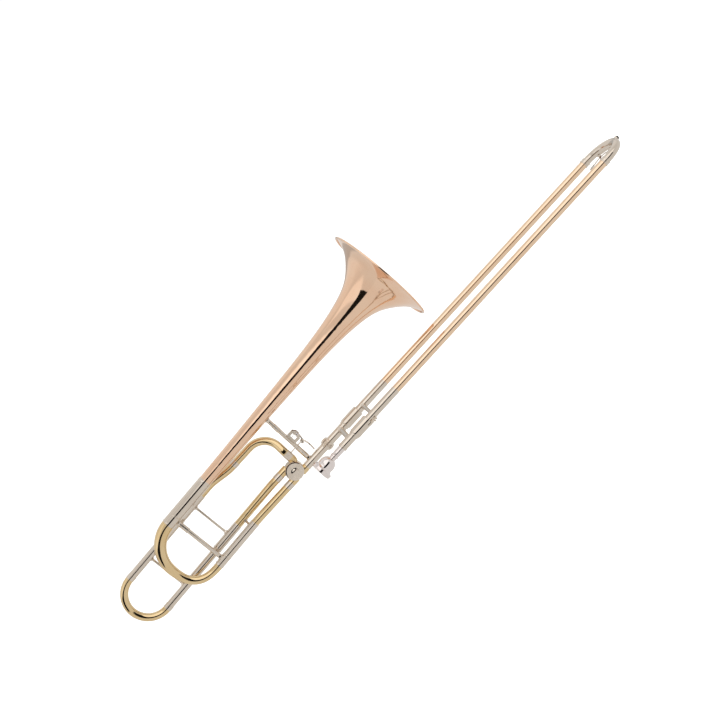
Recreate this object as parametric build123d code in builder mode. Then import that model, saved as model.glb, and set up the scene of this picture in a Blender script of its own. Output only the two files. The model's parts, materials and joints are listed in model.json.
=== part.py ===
"""A tenor trombone with an F attachment: hand slide, bell section, rotary valve and tuning slides.

The frame: +X runs along the hand slide towards its crook, Y = 0 is the bell-side leg of the slide,
the mouthpiece-side leg lies towards -Y, and +Z points up towards the bell. The origin is on the
bell-side leg, in the middle of the lock nut that the left hand closes around. Millimetres.
"""

import os
from math import asin, cos, degrees, hypot, pi, radians, sin, tan

from build123d import *

# ---------------------------------------------------------------- hand slide
leg_spacing = 92.0  # between the axes of the slide's two legs
slide_bore_radius = 6.945
inner_tube_wall = 0.28
stocking_step = 0.085  # the stockings stand this far out of the inner tubes
stocking_length = 60.0
slide_play = 0.05  # between a stocking and the outer tube
outer_tube_wall = 0.34
slide_crook_start = 721.0  # where the crook leaves the straight legs
inner_tube_margin = 21.0  # from the ends of the inner tubes to the crook
slide_sleeve_wall = 0.3
slide_sleeve_length = 60.8  # past the hand brace
sleeve_band = 0.3  # thicker mouth of the outer slide

inner_brace_x = 36.5
inner_brace_radius = 5.0
inner_brace_pad = 7.4
inner_brace_neck = 6.0
barrel_length = 35.9
barrel_wall = 1.85
barrel_play = 0.6  # around the outer slide's mouth
barrel_floor = 1.6
barrel_collar = 1.1
cushion_thickness = 4.0
stop_gap = 0.4  # left between a part and what it stops against

receiver_mouth = 15.5
upper_sleeve_wall = 0.975
lower_sleeve_wall = 1.025
leadpipe_length = 220.0
leadpipe_choke = 0.995  # the leadpipe's throat is this much narrower than the bore
leadpipe_wall = 0.5
leadpipe_lip = 0.3

hand_brace_gap = 11.8  # from the barrels to the outer slide's brace
hand_brace_radius = 3.7
hand_brace_pad = 6.6
hand_brace_neck = 5.0
pad_thickness = 0.9

crook_ferrule_lead = 9.8  # the crook's ferrules start this far up the tubes
crook_ferrule_length = 9.8
crook_ferrule_wall = 0.65
crook_tube_overlap = 3.0
ferrule_ring_width = 2.2
ferrule_ring_height = 0.5

bumper_radius = 4.0
bumper_length = 5.2
bumper_cup_wall = 0.6
bumper_cup_height = 2.6
bumper_floor = 1.0
bumper_cup_root = 2.5  # how far the cup reaches around the crook

# ---------------------------------------------------------------- mouthpiece
bead_gap = 19.5  # from the receiver's mouth to the bead on the mouthpiece
cup_reach = 38.5  # from the bead to the rim
rim_height = 9.0
rim_overhang = 6.85  # rim radius beyond the cup's inside
cup_inner_radius = 12.9
cup_wall = 1.9
cup_depth = 24.0
bead_height = 0.4
mouthpiece_neck_step = 0.9  # the neck behind the cup is this much slimmer than the shank
throat_radius = 3.4
shank_tip_step = 0.545  # the shank's tip is this much smaller than the slide's bore
shank_taper_rise = 0.6  # how much the shank grows from its tip to the receiver's mouth
shank_insertion = 25.0
backbore_wall = 0.8
taper_fit = 0.02

# ---------------------------------------------------------------- lock nut and tenon
nut_start = -7.0
nut_end = 7.5
nut_wall = 2.65  # outside the tenon's collar
running_fit = 0.04
socket_depth = 29.0  # how far the tenon reaches behind the origin
tenon_tip_wall = 0.275
tenon_rise = 0.38  # how much the tenon grows from tip to root
tenon_root_x = 4.0
thread_height = 1.2  # thread radius beyond the tenon's root
collar_height = 0.2  # collar radius beyond the thread
collar_width = 2.2
nut_lip = 0.9

# ---------------------------------------------------------------- slide lock
lock_ring_setback = 8.2  # from the lock ring to the barrel's mouth
lock_ring_width = 7.0
lock_groove_depth = 1.0
lock_ring_height = 0.45  # the ring stands this far out of the barrel
lock_turn = 25.0  # degrees between free and locked
lock_arm_reach = 13.6
lock_arm_height = 1.85
catch_gap = 6.4  # from the barrel's mouth to the catch
catch_radius = 1.5
catch_angle = -118.0  # around the leg, from +Y towards +Z
catch_clearance = 0.3  # the catch stops this far below the arm's outside
lock_notch_width = 4.2
arm_half_angle = 11.0
notch_lead = 3.0  # degrees between the free arm and the catch

# ---------------------------------------------------------------- water key
key_pivot_angle = 30.0  # along the crook from its start
key_pad_angle = 60.0
key_nipple_radius = 3.4
key_nipple_hole = 2.0
key_nipple_height = 2.4
key_pad_radius = 3.3
key_pad_height = 1.6
key_pivot_drop = 4.6  # from the crook's underside to the key's pin
key_pin_radius = 0.8
key_pin_head = 1.5
key_hub_radius = 1.7
key_finger_reach = 30.0
finger_drop = 13.0  # degrees that the finger end falls away from the tube
key_thickness = 1.6
key_arm_width = 2.94
key_side_gap = 0.3
key_coil_radius = 1.0
key_coil_length = 3.2
ear_gap = 2.6
ear_thickness = 1.2
ear_radius = 1.9

# ---------------------------------------------------------------- bell section
lean = 5.4  # degrees that the bell's plane leans away from the mouthpiece leg
rake = 2.38  # degrees that the bell rises towards its rim, in that plane
bell_height = 129.4  # bell axis above the slide axis, at the origin
rim_distance = 302.6  # bell rim ahead of the origin, along the bell axis
bell_tail_a = -195.4  # where the bell's stem ends, along the bell axis
bell_wall = 0.5
upper_leg_radius = 12.1
bell_tail_step = 0.05  # the stem's tail is this much smaller than the tuning slide's leg
bell_tail_radius = upper_leg_radius - bell_tail_step
# Outer radius of the bell against distance back from the rim.
bell_outline = [
    (0.0, 107.95),
    (3.0, 97.0),
    (11.0, 79.6),
    (28.0, 60.8),
    (51.0, 43.9),
    (95.0, 29.9),
    (162.0, 21.5),
    (251.0, bell_tail_radius + 5.15),
    (350.0, bell_tail_radius + 2.6),
    (430.0, bell_tail_radius + 0.95),
    (rim_distance - bell_tail_a, bell_tail_radius),
]
rim_wire_radius = 1.2
rim_bead_radius = 1.8
tube_wall = 0.5

gooseneck_corner = 190.2  # behind the origin, where the raked line meets the slide's axis
main_bore_step = 0.455  # the tubing behind the valve is this much wider than the slide
gooseneck_bend = 300.0
gooseneck_lap = 12.0  # how far the gooseneck reaches into its receiver
sleeve_wall = 0.5
slide_fit = 0.05
main_joint_a = -301.5  # where the main crook leaves its legs
main_ferrule_length = 21.5
bell_ferrule_length = 22.0
bell_ferrule_setback = 3.0  # from the bell's tail
lower_receiver_end_a = -197.9
crook_apex_step = 0.05
crook_taper_turn = 150.0  # degrees around the crook over which its tube narrows
crook_fullness = 5.5  # how far the crook's lower corner stands out of a half circle
main_brace_radius = 4.2
main_brace_pad = 5.6
main_brace_share = 0.67  # of the ferrules' length, where the brace sits
leg_insertion_margin = 4.0

port_ferrule_wall = 0.5
port_ferrule_length = 12.5
port_ferrule_gap = 2.0
arch_ferrule_length = 10.2
arch_ferrule_lead = 84.4  # from the arch's ferrule to the drop
ferrule_fit = 0.1

# ---------------------------------------------------------------- F attachment
f_side_gap = 7.85  # from the upper sleeve's outside to the plane of the F loop
f_upper_drop = 13.3  # below the bell axis
f_lower_height = 27.1  # above the slide axis, at the origin
f_tube_step = 0.1  # the F tubes are this much smaller than the gooseneck
f_leg_step = 0.2  # the F slide's legs are this much smaller than its tubes
f_receiver_wall = 0.8
f_joint_a = -428.0
f_receiver_start_a = -284.6
f_receiver_length = 61.0
f_receiver_lap = 5.0
f_ferrule_length = 9.0
f_ferrule_wall = 0.55
f_brace_a = -373.5
f_brace_radius = 2.3
f_brace_pad = 4.6
f_receiver_brace_a = -249.0
arch_fall = 15.8  # the arch tube's level run, below the F loop's upper leg
arch_corner_a = -196.0
arch_corner_bend = 90.0
arch_level_lead = 95.1  # from the level run's corner to the drop
arch_level_bend = 95.0
arch_bend = 40.0
drop_corner_height = 52.0
drop_corner_bend = 22.0
return_corner_a = -194.0
return_corner_bend = 55.0
return_level_lead = 31.0  # from the return tube's corner to the valve's port
return_level_bend = 60.0
small_brace_radius = 2.3
small_brace_pad = 4.0
small_brace_a = -208.5

# ---------------------------------------------------------------- rotary valve
neckpipe_gap = 2.0  # from the valve's knuckle to the neckpipe's receiver
valve_height = 12.6
casing_wall = 1.3
chamber_rim = 2.5  # outside the rotor's passages
valve_half_length = 12.5
rotor_gap = 0.3
rotor_fit = 0.05
rotor_passage_step = 0.545  # the rotor's passages are this much narrower than the bore
rotor_web = 2.6  # between the rotor's two passages
knuckle_wall = 1.15
knuckle_lead = 0.6  # the knuckles reach this far past the casing
knuckle_inner_x = 7.0
knuckle_floor = 1.0
drop_knuckle_leg = 4.6  # straight part of the arch's knuckle, before it bends in
drop_knuckle_bend = 9.0
cap_inset = 0.5
cap_height = 4.2
plate_thickness = 2.4
spindle_radius = 3.2
spindle_front = 2.0
arm_gap = 0.8
arm_thickness = 2.0
arm_hub_radius = 5.4
arm_eye_radius = 2.4
arm_pin_radius = 1.0
cork_radius = 2.2
cork_circle = 11.2
cork_clearance = 0.3
wing_width = 4.0
wing_reach = 13.2

# ---------------------------------------------------------------- bell brace, lever and linkage
brace_x = -42.5
brace_radius = 4.1
brace_pad_radius = 5.3
neck_receiver_lead = 14.5  # the neckpipe's receiver starts this far behind the brace
neck_wall = 0.55
neck_step = 0.3
neck_step_lead = 6.0
thread_setback = 2.0  # from the thread to the nut
screw_radius = 1.4
screw_length = 1.2
screw_drop = 37.4  # the upper screw, below the bell axis
lower_screw_height = 24.0
saddle_low = 46.0
saddle_high = 66.0
cheek_gap = 7.0
cheek_thickness = 1.8
cheek_bar = 3.2
pivot_gap = 18.5  # from the bell brace to the lever's pivot
pivot_height = 56.0
pivot_radius = 1.5
pin_head_radius = 2.9
pin_head_height = 1.4
hub_radius = 2.7
hub_side_gap = 0.4
lever_swing = 28.0
rotor_swing = 90.0
lever_arm = 20.0
lever_thickness = 2.2
lever_half_width = 4.5
lever_eye_radius = 2.6
paddle_half_width = 7.0
paddle_bend_height = 28.0
paddle_lead = 1.7
paddle_low = 12.0
spring_length = 5.0
spring_wire = 1.5
stud_radius = 1.2
rod_bend_lead = 19.5  # from the valve to the rod's bend
rod_bend = 12.0
rod_gap = 0.4
eye_thickness = 2.2
eye_wall = 1.7
open_pivot_clearance = 1.7

# ---------------------------------------------------------------- sizes that follow from those above
inner_tube_radius = slide_bore_radius + inner_tube_wall
stocking_radius = inner_tube_radius + stocking_step
outer_tube_inner_radius = stocking_radius + slide_play
outer_tube_radius = outer_tube_inner_radius + outer_tube_wall
slide_sleeve_radius = outer_tube_radius + slide_sleeve_wall
inner_tube_end = slide_crook_start - inner_tube_margin
upper_sleeve_radius = inner_tube_radius + upper_sleeve_wall
lower_sleeve_radius = inner_tube_radius + lower_sleeve_wall
leadpipe_throat_radius = slide_bore_radius - leadpipe_choke
barrel_start = inner_brace_x + inner_brace_pad + 4 * barrel_collar + 1.0
barrel_end = barrel_start + barrel_length
barrel_bore_radius = slide_sleeve_radius + sleeve_band + barrel_play
barrel_radius = barrel_bore_radius + barrel_wall
hand_brace_x = barrel_end + hand_brace_gap
slide_sleeve_end = hand_brace_x + slide_sleeve_length
crook_ferrule_start = slide_crook_start - crook_ferrule_lead
crook_ferrule_radius = outer_tube_radius + crook_ferrule_wall
bumper_cup_radius = bumper_radius + bumper_cup_wall

bead_x = receiver_mouth - bead_gap
rim_x = bead_x - cup_reach
cup_radius = cup_inner_radius + cup_wall
rim_radius = cup_inner_radius + rim_overhang
shank_tip_radius = slide_bore_radius - shank_tip_step
shank_mouth_radius = shank_tip_radius + shank_taper_rise
bead_radius = shank_mouth_radius + bead_height
neck_radius = shank_mouth_radius - mouthpiece_neck_step
backbore_tip_radius = shank_tip_radius - backbore_wall

tenon_tip_radius = slide_bore_radius + tenon_tip_wall
tenon_root_radius = tenon_tip_radius + tenon_rise
thread_radius = tenon_root_radius + thread_height
collar_radius = thread_radius + collar_height
nut_radius = collar_radius + nut_wall

lock_ring_start = barrel_end - lock_ring_setback
lock_groove_radius = barrel_radius - lock_groove_depth
lock_arm_radius = barrel_radius + lock_arm_height
catch_x = barrel_end + catch_gap
catch_height = lock_arm_radius - catch_clearance

gooseneck_radius = slide_bore_radius + main_bore_step + tube_wall
upper_sleeve_outer = upper_leg_radius + slide_fit + sleeve_wall
lower_leg_radius = gooseneck_radius
lower_receiver_radius = lower_leg_radius + slide_fit + sleeve_wall
crook_apex_radius = lower_leg_radius - crook_apex_step
bell_ferrule_end_a = bell_tail_a - bell_ferrule_setback

f_offset = -upper_sleeve_outer - f_side_gap
f_tube_radius = gooseneck_radius - f_tube_step
f_leg_radius = f_tube_radius - f_leg_step
f_receiver_radius = f_leg_radius + slide_fit + f_receiver_wall
port_ferrule_radius = f_tube_radius + port_ferrule_wall

rotor_passage_radius = slide_bore_radius - rotor_passage_step
chamber_radius = 2 * rotor_passage_radius + rotor_web / 2 + chamber_rim
casing_radius = chamber_radius + casing_wall
port_bore_radius = slide_bore_radius
knuckle_radius = port_bore_radius + knuckle_wall
knuckle_reach = casing_radius + knuckle_lead
cap_radius = casing_radius - cap_inset
neck_receiver_start = brace_x - neck_receiver_lead
valve_x = neck_receiver_start - neckpipe_gap - knuckle_reach
arch_drop_x = valve_x + valve_height

pivot_x = brace_x + pivot_gap
paddle_x = pivot_x + paddle_lead
rod_bend_x = valve_x + rod_bend_lead

# ---------------------------------------------------------------- frames worked out from the sizes
lean_r = radians(lean)
rake_r = radians(rake)
outward = Vector(0, -cos(lean_r), sin(lean_r))  # out of the bell's plane, to the mouthpiece side
along = Vector(1, 0, 0)
rising = Vector(0, sin(lean_r), cos(lean_r))
bell_along = along * cos(rake_r) + rising * sin(rake_r)

lean_plane = Plane(origin=(0, 0, 0), x_dir=along, z_dir=outward)  # x along, y height
bell_plane = Plane(origin=(0, 0, 0), x_dir=bell_along, z_dir=outward)  # x along the bell axis

main_lower_b = gooseneck_corner * sin(rake_r)
loop_height = bell_height - main_lower_b  # between the main tuning slide's two legs
f_upper_b = bell_height - f_upper_drop
f_lower_b = f_lower_height
arch_top = f_upper_b - arch_fall  # height of the arch tube's level run


def slide_leg(x, y=0.0):
    """Cross-section plane of a slide leg at x, facing +X."""
    return Plane(origin=(x, y, 0), x_dir=(0, 1, 0), z_dir=(1, 0, 0))


def bell_point(a, b, n=0.0):
    """A point from the raked coordinates of the bell section."""
    return bell_plane.from_local_coords(Vector(a, b, n))


def lean_point(x, height, n=0.0):
    """A point from x, the height in the leaning plane and the distance out of it."""
    return lean_plane.from_local_coords(Vector(x, height, n))


def bell_cross(a, b, n=0.0):
    """Cross-section plane of a raked tube, facing the bell's rim."""
    return Plane(origin=bell_point(a, b, n), x_dir=outward, z_dir=bell_along)


def bell_axis_plane(b, n=0.0):
    """Profile plane of a raked tube: x along the tube, y its radius."""
    return Plane(origin=bell_point(0, b, n), x_dir=bell_along, z_dir=outward)


def leg_profile_plane(y=0.0):
    """Profile plane of a slide leg: x along the leg, y its radius."""
    return Plane(origin=(0, y, 0), x_dir=(1, 0, 0), z_dir=(0, 0, 1))


def save(piece, name):
    """Labels a finished piece and writes it as one STEP file."""
    piece.part.label = name
    export_step(piece.part, "parts/" + name + ".step")


def tube(starts, length, outer_radius, inner_radius):
    """Straight tubes of one size, each from its own start plane."""
    with BuildPart() as piece:
        with BuildSketch(*starts):
            Circle(outer_radius)
            Circle(inner_radius, mode=Mode.SUBTRACT)
        extrude(amount=length)
    return piece


def turned(plane, outline):
    """A closed outline of (along, radius) points turned about the plane's x axis."""
    with BuildPart() as piece:
        with BuildSketch(plane):
            with BuildLine():
                Polyline(*outline, close=True)
            make_face()
        revolve(axis=Axis(plane.origin, plane.x_dir))
    return piece


def ferrule_outline(start, length, inner, outer, rings_at=()):
    """Outline of a sleeve with raised rings, for turned()."""
    points = [(start, inner), (start, outer)]
    for ring in rings_at:
        points += [
            (ring - ferrule_ring_width / 2, outer),
            (ring - ferrule_ring_width / 4, outer + ferrule_ring_height),
            (ring + ferrule_ring_width / 4, outer + ferrule_ring_height),
            (ring + ferrule_ring_width / 2, outer),
        ]
    points += [(start + length, outer), (start + length, inner)]
    return points


def bent_tube(points, radii, outer_radius, inner_radius):
    """A tube along straight runs joined by tangent arcs."""
    with BuildPart() as piece:
        with BuildLine():
            route = FilletPolyline(*points, radius=radii)
        with BuildSketch(Plane(origin=route @ 0, z_dir=route % 0)):
            Circle(outer_radius)
            Circle(inner_radius, mode=Mode.SUBTRACT)
        sweep()
    return piece


def rod_solid(start, direction, length, radius):
    """A plain round bar, used to shape other pieces."""
    return extrude(Plane(origin=start, z_dir=direction) * Circle(radius), amount=length)


def strut(base, tip, radius, pad_radius, seats, neck=3.0):
    """A round brace between two tubes, ending in thin pads that fit the tubes.

    seats gives each end's tube: (point on its axis, its direction, its radius).
    """
    span = tip - base
    length = span.length
    holes = [rod_solid(at - way * 60, way, 120, size) for at, way, size in seats]
    collars = [rod_solid(at - way * 60, way, 120, size + pad_thickness) for at, way, size in seats]
    reach = [seats[0][2], seats[1][2]]
    pads = [
        rod_solid(base, span, reach[0] + 2 * pad_thickness, pad_radius) & collars[0],
        rod_solid(tip, -span, reach[1] + 2 * pad_thickness, pad_radius) & collars[1],
    ]
    foot = reach[0] + pad_thickness / 2
    head = length - reach[1] - pad_thickness / 2
    flare = min(pad_radius * 0.82, radius * 1.5)
    with BuildPart() as piece:
        with BuildSketch(Plane(origin=base, x_dir=Plane(origin=base, z_dir=span).x_dir,
                               z_dir=Plane(origin=base, z_dir=span).y_dir)):
            with BuildLine():
                Polyline(
                    (0, 0),
                    (flare, 0),
                    (flare, -foot),
                    (radius, -foot - neck),
                    (radius, -head + neck),
                    (flare, -head),
                    (flare, -length),
                    (0, -length),
                    close=True,
                )
            make_face()
        revolve(axis=Axis(base, span))
        for pad in pads:
            add(pad)
        for hole in holes:
            add(hole, mode=Mode.SUBTRACT)
    return piece


# ================================================================ hand slide, inner
upper_y = -leg_spacing
receiver_seat = receiver_mouth + shank_insertion  # where the mouthpiece's tip stops
tube_seat = receiver_seat + stop_gap
cushion_x = barrel_start + barrel_floor
slide_mouth = cushion_x + cushion_thickness + stop_gap

mouthpiece_receiver = turned(
    leg_profile_plane(upper_y),
    [
        (receiver_mouth, shank_mouth_radius + taper_fit),
        (receiver_mouth, upper_sleeve_radius - 0.5),
        (receiver_mouth + 0.8, upper_sleeve_radius + 0.5),
        (receiver_mouth + 3.4, upper_sleeve_radius + 0.5),
        (receiver_mouth + 4.2, upper_sleeve_radius),
        (cushion_x, upper_sleeve_radius),
        (cushion_x, inner_tube_radius),
        (tube_seat, inner_tube_radius),
        (tube_seat, shank_tip_radius + taper_fit),
        (receiver_seat, shank_tip_radius + taper_fit),
    ],
)
save(mouthpiece_receiver, "mouthpiece_receiver")

leadpipe = turned(
    leg_profile_plane(upper_y),
    [
        (tube_seat, shank_tip_radius - leadpipe_lip),
        (tube_seat, slide_bore_radius),
        (tube_seat + 18, slide_bore_radius),
        (tube_seat + 30, leadpipe_throat_radius + leadpipe_wall),
        (tube_seat + 60, leadpipe_throat_radius + leadpipe_wall),
        (tube_seat + leadpipe_length - 12, slide_bore_radius),
        (tube_seat + leadpipe_length, slide_bore_radius),
        (tube_seat + leadpipe_length, slide_bore_radius - leadpipe_wall / 2),
        (tube_seat + 45, leadpipe_throat_radius),
        (tube_seat + 25, leadpipe_throat_radius),
    ],
)
save(leadpipe, "leadpipe")


with BuildPart() as inner_slide_tubes:
    for y in (upper_y, 0):
        with BuildSketch(leg_profile_plane(y)):
            with BuildLine():
                Polyline(
                    (tube_seat, slide_bore_radius),
                    (tube_seat, inner_tube_radius),
                    (inner_tube_end - stocking_length - 2, inner_tube_radius),
                    (inner_tube_end - stocking_length, stocking_radius),
                    (inner_tube_end - 1, stocking_radius),
                    (inner_tube_end, inner_tube_radius),
                    (inner_tube_end, slide_bore_radius),
                    close=True,
                )
            make_face()
        revolve(axis=Axis((0, y, 0), (1, 0, 0)))
save(inner_slide_tubes, "inner_slide_tubes")


def cork_barrel(y, sleeve_radius, groove):
    """The cup at the top of a slide leg that catches the outer slide; groove holds the lock ring."""
    outer = [
        (barrel_start - 4.6, sleeve_radius),
        (barrel_start - 4.6, sleeve_radius + barrel_collar - 0.3),
        (barrel_start - 4.0, sleeve_radius + barrel_collar),
        (barrel_start - 1.6, sleeve_radius + barrel_collar),
        (barrel_start - 0.6, sleeve_radius + barrel_collar + 0.8),
        (barrel_start + 1.2, barrel_radius),
    ]
    if groove:
        outer += [
            (lock_ring_start - 0.1, barrel_radius),
            (lock_ring_start - 0.1, lock_groove_radius),
            (lock_ring_start + lock_ring_width + 0.1, lock_groove_radius),
            (lock_ring_start + lock_ring_width + 0.1, barrel_radius - 0.35),
            (barrel_end - 0.3, barrel_radius - 0.35),
        ]
    else:
        outer += [(barrel_end - 0.8, barrel_radius)]
    inner = [
        (barrel_end, barrel_radius - 0.9),
        (barrel_end, barrel_bore_radius + 0.2),
        (barrel_end - 0.6, barrel_bore_radius),
        (cushion_x, barrel_bore_radius),
        (cushion_x, sleeve_radius),
    ]
    return turned(leg_profile_plane(y), outer + inner)


mouthpiece_side_cork_barrel = cork_barrel(upper_y, upper_sleeve_radius, True)
save(mouthpiece_side_cork_barrel, "mouthpiece_side_cork_barrel")
bell_side_cork_barrel = cork_barrel(0, lower_sleeve_radius, False)
save(bell_side_cork_barrel, "bell_side_cork_barrel")

barrel_cushions = tube(
    [slide_leg(cushion_x, upper_y), slide_leg(cushion_x, 0)],
    cushion_thickness,
    barrel_bore_radius,
    inner_tube_radius,
)
save(barrel_cushions, "barrel_cushions")

bell_lock_tenon = turned(
    leg_profile_plane(0),
    [
        (-socket_depth + stop_gap, slide_bore_radius),
        (-socket_depth + stop_gap, tenon_tip_radius),
        (tenon_root_x, tenon_root_radius),
        (tenon_root_x + stop_gap, tenon_root_radius),
        (tenon_root_x + stop_gap, collar_radius),
        (tenon_root_x + stop_gap + collar_width, collar_radius),
        (tenon_root_x + stop_gap + collar_width, lower_sleeve_radius),
        (cushion_x, lower_sleeve_radius),
        (cushion_x, inner_tube_radius),
        (tube_seat, inner_tube_radius),
        (tube_seat, slide_bore_radius),
    ],
)
save(bell_lock_tenon, "bell_lock_tenon")

inner_slide_brace = strut(
    Vector(inner_brace_x, upper_y, 0),
    Vector(inner_brace_x, 0, 0),
    inner_brace_radius,
    inner_brace_pad,
    [
        (Vector(inner_brace_x, upper_y, 0), along, upper_sleeve_radius),
        (Vector(inner_brace_x, 0, 0), along, lower_sleeve_radius),
    ],
    neck=inner_brace_neck,
)
save(inner_slide_brace, "inner_slide_brace")

# ================================================================ lock nut, slide lock, mouthpiece
lock_nut = turned(
    leg_profile_plane(0),
    [
        (nut_start, thread_radius + running_fit),
        (nut_start, nut_radius - 1.6),
        (nut_start + 1.0, nut_radius - 0.6),
        (nut_start + 2.2, nut_radius - 0.6),
        (nut_start + 2.8, nut_radius),
        (nut_end - 2.8, nut_radius),
        (nut_end - 2.2, nut_radius - 0.6),
        (nut_end - 1.0, nut_radius - 0.6),
        (nut_end, nut_radius - 1.6),
        (nut_end, lower_sleeve_radius + running_fit),
        (nut_end - nut_lip + 0.1, lower_sleeve_radius + running_fit),
        (nut_end - nut_lip + 0.1, collar_radius + running_fit),
        (tenon_root_x + stop_gap - 0.1, collar_radius + running_fit),
        (tenon_root_x + stop_gap - 0.1, thread_radius + running_fit),
    ],
)
save(lock_nut, "lock_nut")

# The lock ring turns on the mouthpiece-side barrel; its arm reaches past the outer slide's mouth.
arm_rest_angle = catch_angle - lock_turn - notch_lead


def lock_sector(x, inner, outer, start_angle, end_angle):
    """A curved patch around the mouthpiece-side leg, between two angles."""
    first = radians(start_angle)
    last = radians(end_angle)
    middle = (first + last) / 2

    def at(radius, angle):
        return (radius * cos(angle), radius * sin(angle))

    with BuildSketch(slide_leg(x, upper_y)) as patch:
        with BuildLine():
            ThreePointArc(at(outer, first), at(outer, middle), at(outer, last))
            Line(at(outer, last), at(inner, last))
            ThreePointArc(at(inner, last), at(inner, middle), at(inner, first))
            Line(at(inner, first), at(outer, first))
        make_face()
    return patch.sketch


lock_ring_end = lock_ring_start + lock_ring_width
arm_from = arm_rest_angle - arm_half_angle
arm_to = arm_rest_angle + arm_half_angle
arm_root = lock_sector(lock_ring_start, lock_groove_radius + 0.6, lock_arm_radius, arm_from, arm_to)
arm_reach = lock_sector(lock_ring_end, barrel_radius + 0.1, lock_arm_radius, arm_from, arm_to)
arm_notch = lock_sector(
    catch_x - lock_notch_width / 2, barrel_radius - 1, lock_arm_radius + 1,
    arm_rest_angle - 6.0, arm_to + 2,
)
with BuildPart() as slide_lock_ring:
    with BuildSketch(slide_leg(lock_ring_start, upper_y)):
        Circle(barrel_radius + lock_ring_height)
        Circle(lock_groove_radius + running_fit, mode=Mode.SUBTRACT)
    extrude(amount=lock_ring_width)
    extrude(arm_root, amount=lock_ring_width)
    extrude(arm_reach, amount=lock_arm_reach)
    extrude(arm_notch, amount=lock_notch_width, mode=Mode.SUBTRACT)
save(slide_lock_ring, "slide_lock_ring")

catch_way = Vector(0, cos(radians(catch_angle)), sin(radians(catch_angle)))
catch_base = Vector(catch_x, upper_y, 0)
sleeve_hole = rod_solid(Vector(0, upper_y, 0), along, 200, slide_sleeve_radius)
with BuildPart() as slide_lock_catch:
    with BuildSketch(Plane(origin=catch_base, z_dir=catch_way)):
        Circle(catch_radius)
    extrude(amount=catch_height)
    with BuildSketch(Plane(origin=catch_base, z_dir=catch_way)):
        Circle(catch_radius + 1.2)
    extrude(amount=slide_sleeve_radius + 0.8)
    add(sleeve_hole, mode=Mode.SUBTRACT)
save(slide_lock_catch, "slide_lock_catch")

with BuildPart() as mouthpiece:
    with BuildSketch(leg_profile_plane(upper_y)):
        with BuildLine():
            face = rim_x
            Polyline(
                (receiver_mouth, shank_mouth_radius),
                (receiver_seat, shank_tip_radius),
                (receiver_seat, backbore_tip_radius),
                (face + cup_depth + 12, throat_radius),
                (face + cup_depth, throat_radius),
            )
            Spline(
                (face + cup_depth, throat_radius),
                (face + cup_depth * 0.72, cup_inner_radius * 0.60),
                (face + cup_depth * 0.36, cup_inner_radius * 0.93),
                (face + 2.6, cup_inner_radius),
            )
            Spline(
                (face + 2.6, cup_inner_radius),
                (face, (cup_inner_radius + rim_radius) / 2 - 0.6),
                (face + 3.4, rim_radius),
                tangents=((-1, 0.15), (1, 0)),
            )
            Line((face + 3.4, rim_radius), (face + rim_height - 1.4, rim_radius))
            Spline(
                (face + rim_height - 1.4, rim_radius),
                (face + rim_height, rim_radius - 2.2),
                (face + rim_height + 1.8, cup_radius + 0.6),
                (face + rim_height + 6, cup_radius),
            )
            Spline(
                (face + rim_height + 6, cup_radius),
                (bead_x - 18.5, cup_radius),
                (bead_x - 11.0, cup_radius * 0.79),
                (bead_x - 7.4, neck_radius + 1.4),
                (bead_x - 5.4, neck_radius),
                tangents=((1, 0.06), (1, 0)),
            )
            Polyline(
                (bead_x - 5.4, neck_radius),
                (bead_x - 4.0, shank_mouth_radius - 0.4),
                (bead_x - 2.0, shank_mouth_radius - 0.6),
                (bead_x - 1.4, bead_radius - 0.3),
                (bead_x - 0.8, bead_radius),
                (bead_x + 0.8, bead_radius),
                (bead_x + 1.4, bead_radius - 0.3),
                (bead_x + 2.0, shank_mouth_radius - 0.6),
                (bead_x + 6.0, shank_mouth_radius - 0.2),
                (receiver_mouth, shank_mouth_radius),
            )
        make_face()
    revolve(axis=Axis((0, upper_y, 0), (1, 0, 0)))
save(mouthpiece, "mouthpiece")

# ================================================================ hand slide, outer
crook_tube_start = slide_crook_start - crook_tube_overlap
outer_tube_length = crook_tube_start - slide_mouth
mouthpiece_side_outer_tube = tube(
    [slide_leg(slide_mouth, upper_y)], outer_tube_length, outer_tube_radius, outer_tube_inner_radius
)
save(mouthpiece_side_outer_tube, "mouthpiece_side_outer_tube")
bell_side_outer_tube = tube(
    [slide_leg(slide_mouth, 0)], outer_tube_length, outer_tube_radius, outer_tube_inner_radius
)
save(bell_side_outer_tube, "bell_side_outer_tube")

with BuildPart() as slide_sleeves:
    for y in (upper_y, 0):
        with BuildSketch(leg_profile_plane(y)):
            with BuildLine():
                Polyline(
                    (slide_mouth, outer_tube_radius),
                    (slide_mouth, slide_sleeve_radius + sleeve_band),
                    (slide_mouth + 2.5, slide_sleeve_radius + sleeve_band),
                    (slide_mouth + 3.2, slide_sleeve_radius),
                    (slide_sleeve_end - 1.0, slide_sleeve_radius),
                    (slide_sleeve_end, outer_tube_radius + 0.05),
                    (slide_sleeve_end, outer_tube_radius),
                    close=True,
                )
            make_face()
        revolve(axis=Axis((0, y, 0), (1, 0, 0)))
save(slide_sleeves, "slide_sleeves")

hand_brace = strut(
    Vector(hand_brace_x, upper_y, 0),
    Vector(hand_brace_x, 0, 0),
    hand_brace_radius,
    hand_brace_pad,
    [
        (Vector(hand_brace_x, upper_y, 0), along, slide_sleeve_radius),
        (Vector(hand_brace_x, 0, 0), along, slide_sleeve_radius),
    ],
    neck=hand_brace_neck,
)
save(hand_brace, "hand_brace")

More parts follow.
